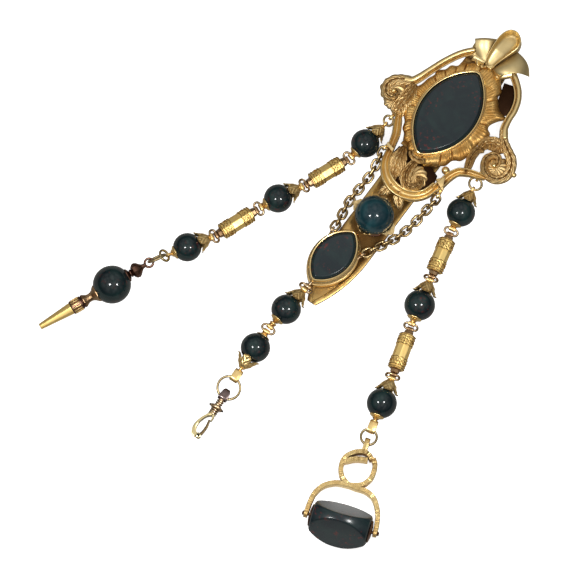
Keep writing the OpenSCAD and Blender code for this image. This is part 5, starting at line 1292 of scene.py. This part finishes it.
# Rings: name, near side, heading, tilt, distance to the middle, radius, roll
for name, spot, heading, tilt, away, r, roll in (
        ("left_top_ring", left_lug, LEFT_UNITS[0][1], RING_TILT, LEFT_RING_R, LEFT_RING_R, 0),
        ("right_top_ring", right_lug, RIGHT_UNITS[0][1], RING_TILT, RIGHT_RING_R, RIGHT_RING_R, 0),
        ("key_ring_1", left_end, ring1_turn, ring1_tilt, KEY_RING1_R, KEY_RING1_R, 0),
        ("key_ring_2", ring1_far, ring2_turn, ring2_tilt, ring2_span / 2, KEY_RING2_R, 65),
        ("clip_ring", centre_end, clip_turn, clip_ring_tilt, CLIP_RING_R, CLIP_RING_R, 0),
        ("fob_ring", right_end, fob_turn, fob_tilt, FOB_RING_R, FOB_RING_R, 0)):
    place = at(spot + away * way(heading, tilt), heading, tilt, roll)
    settled(jump_ring(name, r, 1.08 * RING_WIRE), name + "_wire", name, ring_gold, place, smooth=60)

# Watch key: rows are heights above the bead's end
settled(bead(2 * KEY_R), "key_bead_polished", "key_bead", bloodstone, key_at)
finial = lathed("finial", seated(KEY_R, (0.6, 1.2, 1.8, 0.35 * KEY_R)) + [(-0.3, 0.37 * KEY_R),
    (-0.05, 0.36 * KEY_R), (0.3, 0.26 * KEY_R), (0.6, 0.9), (0.8, 1.35), (1.1, 1.35), (1.3, 1.1), (1.6, 1.8),
    (2.2, 2.4), (3, 2.55), (3.8, 2.1), (4.4, 1.4), (5, 0.85), (5.9, 0.65), (6.3, 0.55)], 10, KEY_R, -90)
finial = joined("finial", [finial, pin(KEY_R)])
waist = lathed("waist", seated(KEY_R, (0.6, 1.2, 1.8, 2.4, 2.72)) + [(-0.12 * KEY_R, 2.86),
    (-0.07 * KEY_R, 2.86), (0.1, 2.45), (0.6, 1.9), (1.2, 1.45), (2, 1.3), (2.7, 1.4), (3.4, 1.75),
    (3.9, 2.1), (4.1, 2.1)], 12, KEY_R)
rims = [lathed("rims", [(4, 1.7), (4.1, 2.05), (4.3, 2.15), (4.5, 2.05), (4.6, 1.85), (4.75, 1.85),
        (4.85, 2.12), (5.05, 2.2), (5.25, 2.12), (5.35, 1.7), (8, 1.7), (8.1, 2.15), (8.3, 2.25),
        (8.5, 2.15), (8.6, 1.6)], 48, KEY_R),
    lathed("core", [(5.2, 1.9), (8.1, 1.9)], 48, KEY_R),
    moved(hoop("loop", 1.35, 0.8), shift(1.35 - key_reach))]
FLUTES, FLUTE_AWAY = 14, 2.02
flute = swept("flute", straight((5.3, 0.8), (5.4, 1), (8, 1), (8.1, 0.8)), bar_section(0.21, 0.28, 0.08))
moved(flute, shift(KEY_R, 0, FLUTE_AWAY))
flutes = joined("flutes", [copied(flute, turn(360 * i / FLUTES, "X")) for i in range(FLUTES)])
bpy.data.objects.remove(flute)
pipe = turned("pipe", [(-PIPE_L - 0.3, 1.9), (-PIPE_L, 1.96), (-PIPE_L + 0.4, 1.92), (-0.5, 1.05), (-0.1, 1),
    (0, 0.88)], 8, key_tip)
softened(pipe, 0.09, 25)
pick(None)
bpy.ops.mesh.primitive_cube_add(size=1, location=(0, 0, key_tip - KEY_DEPTH + (KEY_DEPTH + 1) / 2),
    scale=(KEY_SQUARE, KEY_SQUARE, KEY_DEPTH + 1))
square = added("square")
modified(pipe, "BOOLEAN", operation="DIFFERENCE", object=square, solver="EXACT")
bpy.data.objects.remove(square)
for part, ending, material, smooth in ((finial, "finial", browned_and_shade_gold, 25), (waist, "waist", waist_gold, 25),
        (joined("rims", rims), "collar_rims", browned_and_shade_gold, 50), (flutes, "fluted_collar", satin_gold, 50),
        (moved(pipe, turn(90, "Y")), "pipe", barrel_gold, 25)):
    settled(part, "key_" + ending, "watch_key", material, key_at, smooth=smooth)


def arm(name, rows, depth, steps=8, edge=0.28, section=None):
    """Bar bent in a plane, along rows of x, y and half width, its depth across the plane"""
    stations = stations_along(smooth_rows([[x, y, 0, half, depth / 2] for x, y, half in rows], steps))[0]
    return swept(name, stations, section or bar_section(1, 1, edge))


# Swivel clip
loop = moved(strap(4.1, 2.9, 0.93), shift(0.5))
settled(loop, "clip_shackle_loop", "clip_shackle", shackle_gold, clip_at)
stem = lathed("stem", [(4.35, 0.85), (4.45, 0.95), (4.8, 0.9), (4.95, 1.1), (5.05, 1.2), (5.3, 1.2),
    (5.4, 0.8), (5.6, 0.8), (5.75, 1.2), (6, 1.2), (6.1, 0.8), (6.3, 0.8), (6.45, 1.2), (6.7, 1.15),
    (6.8, 0.95), (6.85, 0.45), (8.75, 0.45), (8.8, 0.65), (9.12, 0.65), (9.15, 0.5)], 32)
settled(stem, "clip_shackle_stem", "clip_shackle", rose_gold, clip_at)
disc = lathed("disc", [(6.95, 0.52), (6.95, 1.8), (7.05, 2), (7.4, 2.1), (7.75, 2), (7.9, 1.6),
    (7.95, 0.52)])
pegs = [moved(turned("peg", [(s * 1.7, 0.3), (s * 1.75, 0.36), (s * 2.4, 0.36), (s * 2.5, 0.25)], 20),
    shift(7.4) @ turn(-90, "X")) for s in (-1, 1)]
ribbed = lathed("stem", [(7.9, 0.95), (8.1, 0.85), (8.2, 1.35), (8.5, 1.35), (8.6, 0.85), (8.8, 0.85),
    (8.9, 1.35), (9.2, 1.35), (9.3, 0.85), (9.5, 0.85), (9.6, 1.35), (9.9, 1.35), (10.05, 0.9)], 32)
hook = [arm("hook arm", [(9.5, 0.1, 0.95)] + HOOK_ARM[:6], CLIP_T),
    arm("nose", [(9.8, 0.4, 0.6), (10.6, 0.85, 0.35), (11.4, 1.0, 0.2), (12.1, 0.95, 0.16)], CLIP_T, 5, 0.2)]
for s in (-1, 1):
    lift = shift(z=s * 0.4 * CLIP_T)
    hook += [moved(arm("cheek", HOOK_ARM[4:], 0.19 * CLIP_T, 8, 0.2), lift),
        moved(turned("cheek", mirrored((0.12, 0.82), (0.19, 0.72)), 32), shift(*HINGE_AT) @ lift)]
hinge_pin = turned("hinge pin", mirrored((CLIP_T / 2 + 0.02, 0.46), (CLIP_T / 2 + 0.1, 0.4)), 20)
for part, ending, material in ((disc, "disc", rose_gold), (joined("pegs", pegs), "pegs", dark_steel),
        (ribbed, "ribbed_stem", rose_gold), (joined("hook", hook), "hook_arm", pale_gold),
        (moved(hinge_pin, shift(*HINGE_AT)), "hinge_pin", dark_steel)):
    settled(part, "clip_" + ending, "clip_hook", material, clip_at, "clip")
hub = moved(turned("gate hub", mirrored((0.48, 0.75), (0.55, 0.68)), 32), shift(*HINGE_AT))
gate = joined("gate", [arm("gate", GATE_ARM, 0.55 * CLIP_T), hub])
settled(gate, "clip_gate_lever", "clip_gate", gate_gold, clip_at, "gate")


# Seal: a frame of notched bands, the axle with its caps, and the stone
def notched(i):
    scale = 0.98 - 0.07 * (i % 2) * abs(math.sin(0.37 * i))
    return [(x * scale, y * scale) for x, y in bar_section(1, 1, 0.22)]


frame_parts = [arm("band", [(x * arm_x, y * loop_l, 0.58 * BAND_T) for x, y in table], BAND_H, 12,
    section=notched) for table in (LEFT_ARM, RIGHT_ARM, TONGUE)]
frame_parts += [moved(turned("arm end", mirrored((0.5, 1.3), (0.62, 1.22), (0.7, 0.58)), 40),
    shift(s * arm_x) @ turn(90, "Y")) for s in (-1, 1)]
frame_parts.append(moved(strap(5.2, 1.6), shift(bail_x, loop_l - 0.4) @ turn(90, "Z")))
settled(joined("seal frame", frame_parts), "seal_scroll_frame", "seal_frame", seal_gold, seal_at,
    smooth=30)
head_x = arm_x + BAND_T / 2 + 0.06
axle = [turned("axle", [(-head_x - 0.5, AXLE_R), (head_x + 0.5, AXLE_R)], 32)]
for s in (-1, 1):
    axle.append(turned("head", [(s * (head_x + x), r) for x, r in ((0.02, 0.75), (0.12, 0.8), (0.3, 0.65),
        (0.4, 0.3))], 32))
    axle.append(turned("cap", [(s * (SEAL_HALF + x), r * SEAL_FACE) for x, r in ((0.06, 0.74), (0.3, 0.76),
        (0.5, 0.72), (0.84, 0.4))]))
for part in axle:
    closed_up(part)
axle = moved(joined("axle", axle), turn(90, "Y"))
settled(axle, "seal_axle_and_caps", "seal_axle", browned_and_shade_gold, seal_at, "seal")


def seal_stone():
    """Three polished faces cut on a barrel, with softened edges between them and round its ends"""
    full, end_r, soft, bevel = 1.03 * SEAL_R, 0.62 * SEAL_R, 0.25, 0.4

    def spot(u, v):
        x = SEAL_HALF * (2 * v - 1)
        barrel_r = full - (full - end_r) * abs(x / SEAL_HALF) ** 2.1
        a = 360 * u
        flat = SEAL_FACE / cosd((a - 30) % 120 - 60)
        r = min(flat, barrel_r)
        r -= max(0, soft - abs(flat - barrel_r)) ** 2 / (4 * soft)
        edge = max(0, bevel - (SEAL_HALF - abs(x)))
        r -= bevel - math.sqrt(max(0, bevel ** 2 - edge * edge))
        return Vector((x, r * cosd(a), -r * sind(a)))
    return shaped("seal stone", 180, 48, spot)


settled(seal_stone(), "seal_stone_polished", "seal_stone", table_stone,
    seal_at @ turn(-seal_tilt, "X"), "seal", smooth=25)

# Floor: white glowing paper to the camera, dim grey in reflections to paint shade on the gold's sides, but
# for two glowing pools beside the seal that paint a sheen on its faces
pick(None)
FLOOR_SIZE, FLOOR_Z = 4, -0.00004
bpy.ops.mesh.primitive_plane_add(size=FLOOR_SIZE, location=(0, 0, FLOOR_Z))
floor = bpy.context.active_object
floor.name = "studio_floor"
paper, tree, surface = new_material("White paper floor")
white = mixed(tree, noise(tree, object_spot(tree), 400.0), (0.93, 0.93, 0.93, 1), (0.96, 0.96, 0.96, 1))
seen = node(tree, "LightPath").outputs["Is Camera Ray"]


def pool(away, near, far, level):
    """Round pool of light that fades from near to far, away from the seal along its arms"""
    spot = (seal_spot + away * way(seal_turn + 90)) * MM
    apart = node(tree, "VectorMath", {0: object_spot(tree), 1: (spot.x, spot.y, 0)}, operation="DISTANCE")
    return spread(tree, apart.outputs["Value"], near, far, level, 0.12)


pools = math_node(tree, "MAXIMUM", pool(12, 0.004, 0.014, 0.75), pool(-24, 0.008, 0.022, 0.6))
for socket, value in (("Base Color", mixed(tree, seen, (0.22, 0.21, 0.19, 1), white)), ("Roughness", 0.9),
        ("Emission Strength", math_node(tree, "MAXIMUM", math_node(tree, "MULTIPLY", seen, 0.8), pools)),
        ("Emission Color", (1, 1, 1, 1))):
    feed(tree, surface[socket], value)
floor.data.materials.append(paper)

world = bpy.data.worlds.new("Light tent")
bpy.context.scene.world = world
world.use_nodes = True
tree = world.node_tree
direction = node(tree, "TexCoord").outputs["Generated"]
height = node(tree, "SeparateXYZ", {"Vector": direction}).outputs["Z"]
panels = spread(tree, noise(tree, direction, 2.6, 1.0), 0.35, 0.62, 0.45, 1.35)
glow = math_node(tree, "MULTIPLY", spread(tree, height, 0.22, 0.95, 0.04, 0.95), panels)
feed(tree, tree.nodes["Background"].inputs["Strength"], glow)
feed(tree, tree.nodes["Background"].inputs["Color"], (1, 0.98, 0.95, 1))

# Two small lamps and a camera far above
VIEW_TARGET = Vector((-7.9, -73.9, 5)) * MM
RIGHT = Vector((0.809, 0.5878, 0))
TOWARDS = Vector((0.2588 * 0.5878, -0.2588 * 0.809, 0.9659)).normalized()
CAMERA_AWAY, FRAME_WIDTH, SENSOR = 8.0, 178.6 * MM, 36
LAMP_SIZE, LAMP_POWER, LAMP_AWAY, LAMP_ABOVE = 0.034, 0.3, 0.26, 0.004


def aimed(name, data, spot):
    """Lamp or camera at its spot, turned to the middle of the object"""
    thing = bpy.data.objects.new(name, data)
    bpy.context.scene.collection.objects.link(thing)
    thing.location = spot
    thing.rotation_euler = (VIEW_TARGET - spot).to_track_quat("-Z", "Y").to_euler()
    return thing


for name, across in (("Left lamp", -0.11), ("Right lamp", 0.105)):
    light = bpy.data.lights.new(name, "AREA")
    light.shape, light.size, light.energy = "SQUARE", LAMP_SIZE, LAMP_POWER
    aimed(name, light, VIEW_TARGET + RIGHT * across + TOWARDS.cross(RIGHT) * LAMP_ABOVE
        + TOWARDS * LAMP_AWAY)

camera = aimed("Camera", bpy.data.cameras.new("Camera"), VIEW_TARGET + TOWARDS * CAMERA_AWAY)
camera.data.sensor_width = SENSOR
camera.data.lens = SENSOR * CAMERA_AWAY / FRAME_WIDTH
camera.data.clip_start = 0.5
bpy.context.scene.camera = camera
bpy.context.scene.view_settings.view_transform = "Standard"
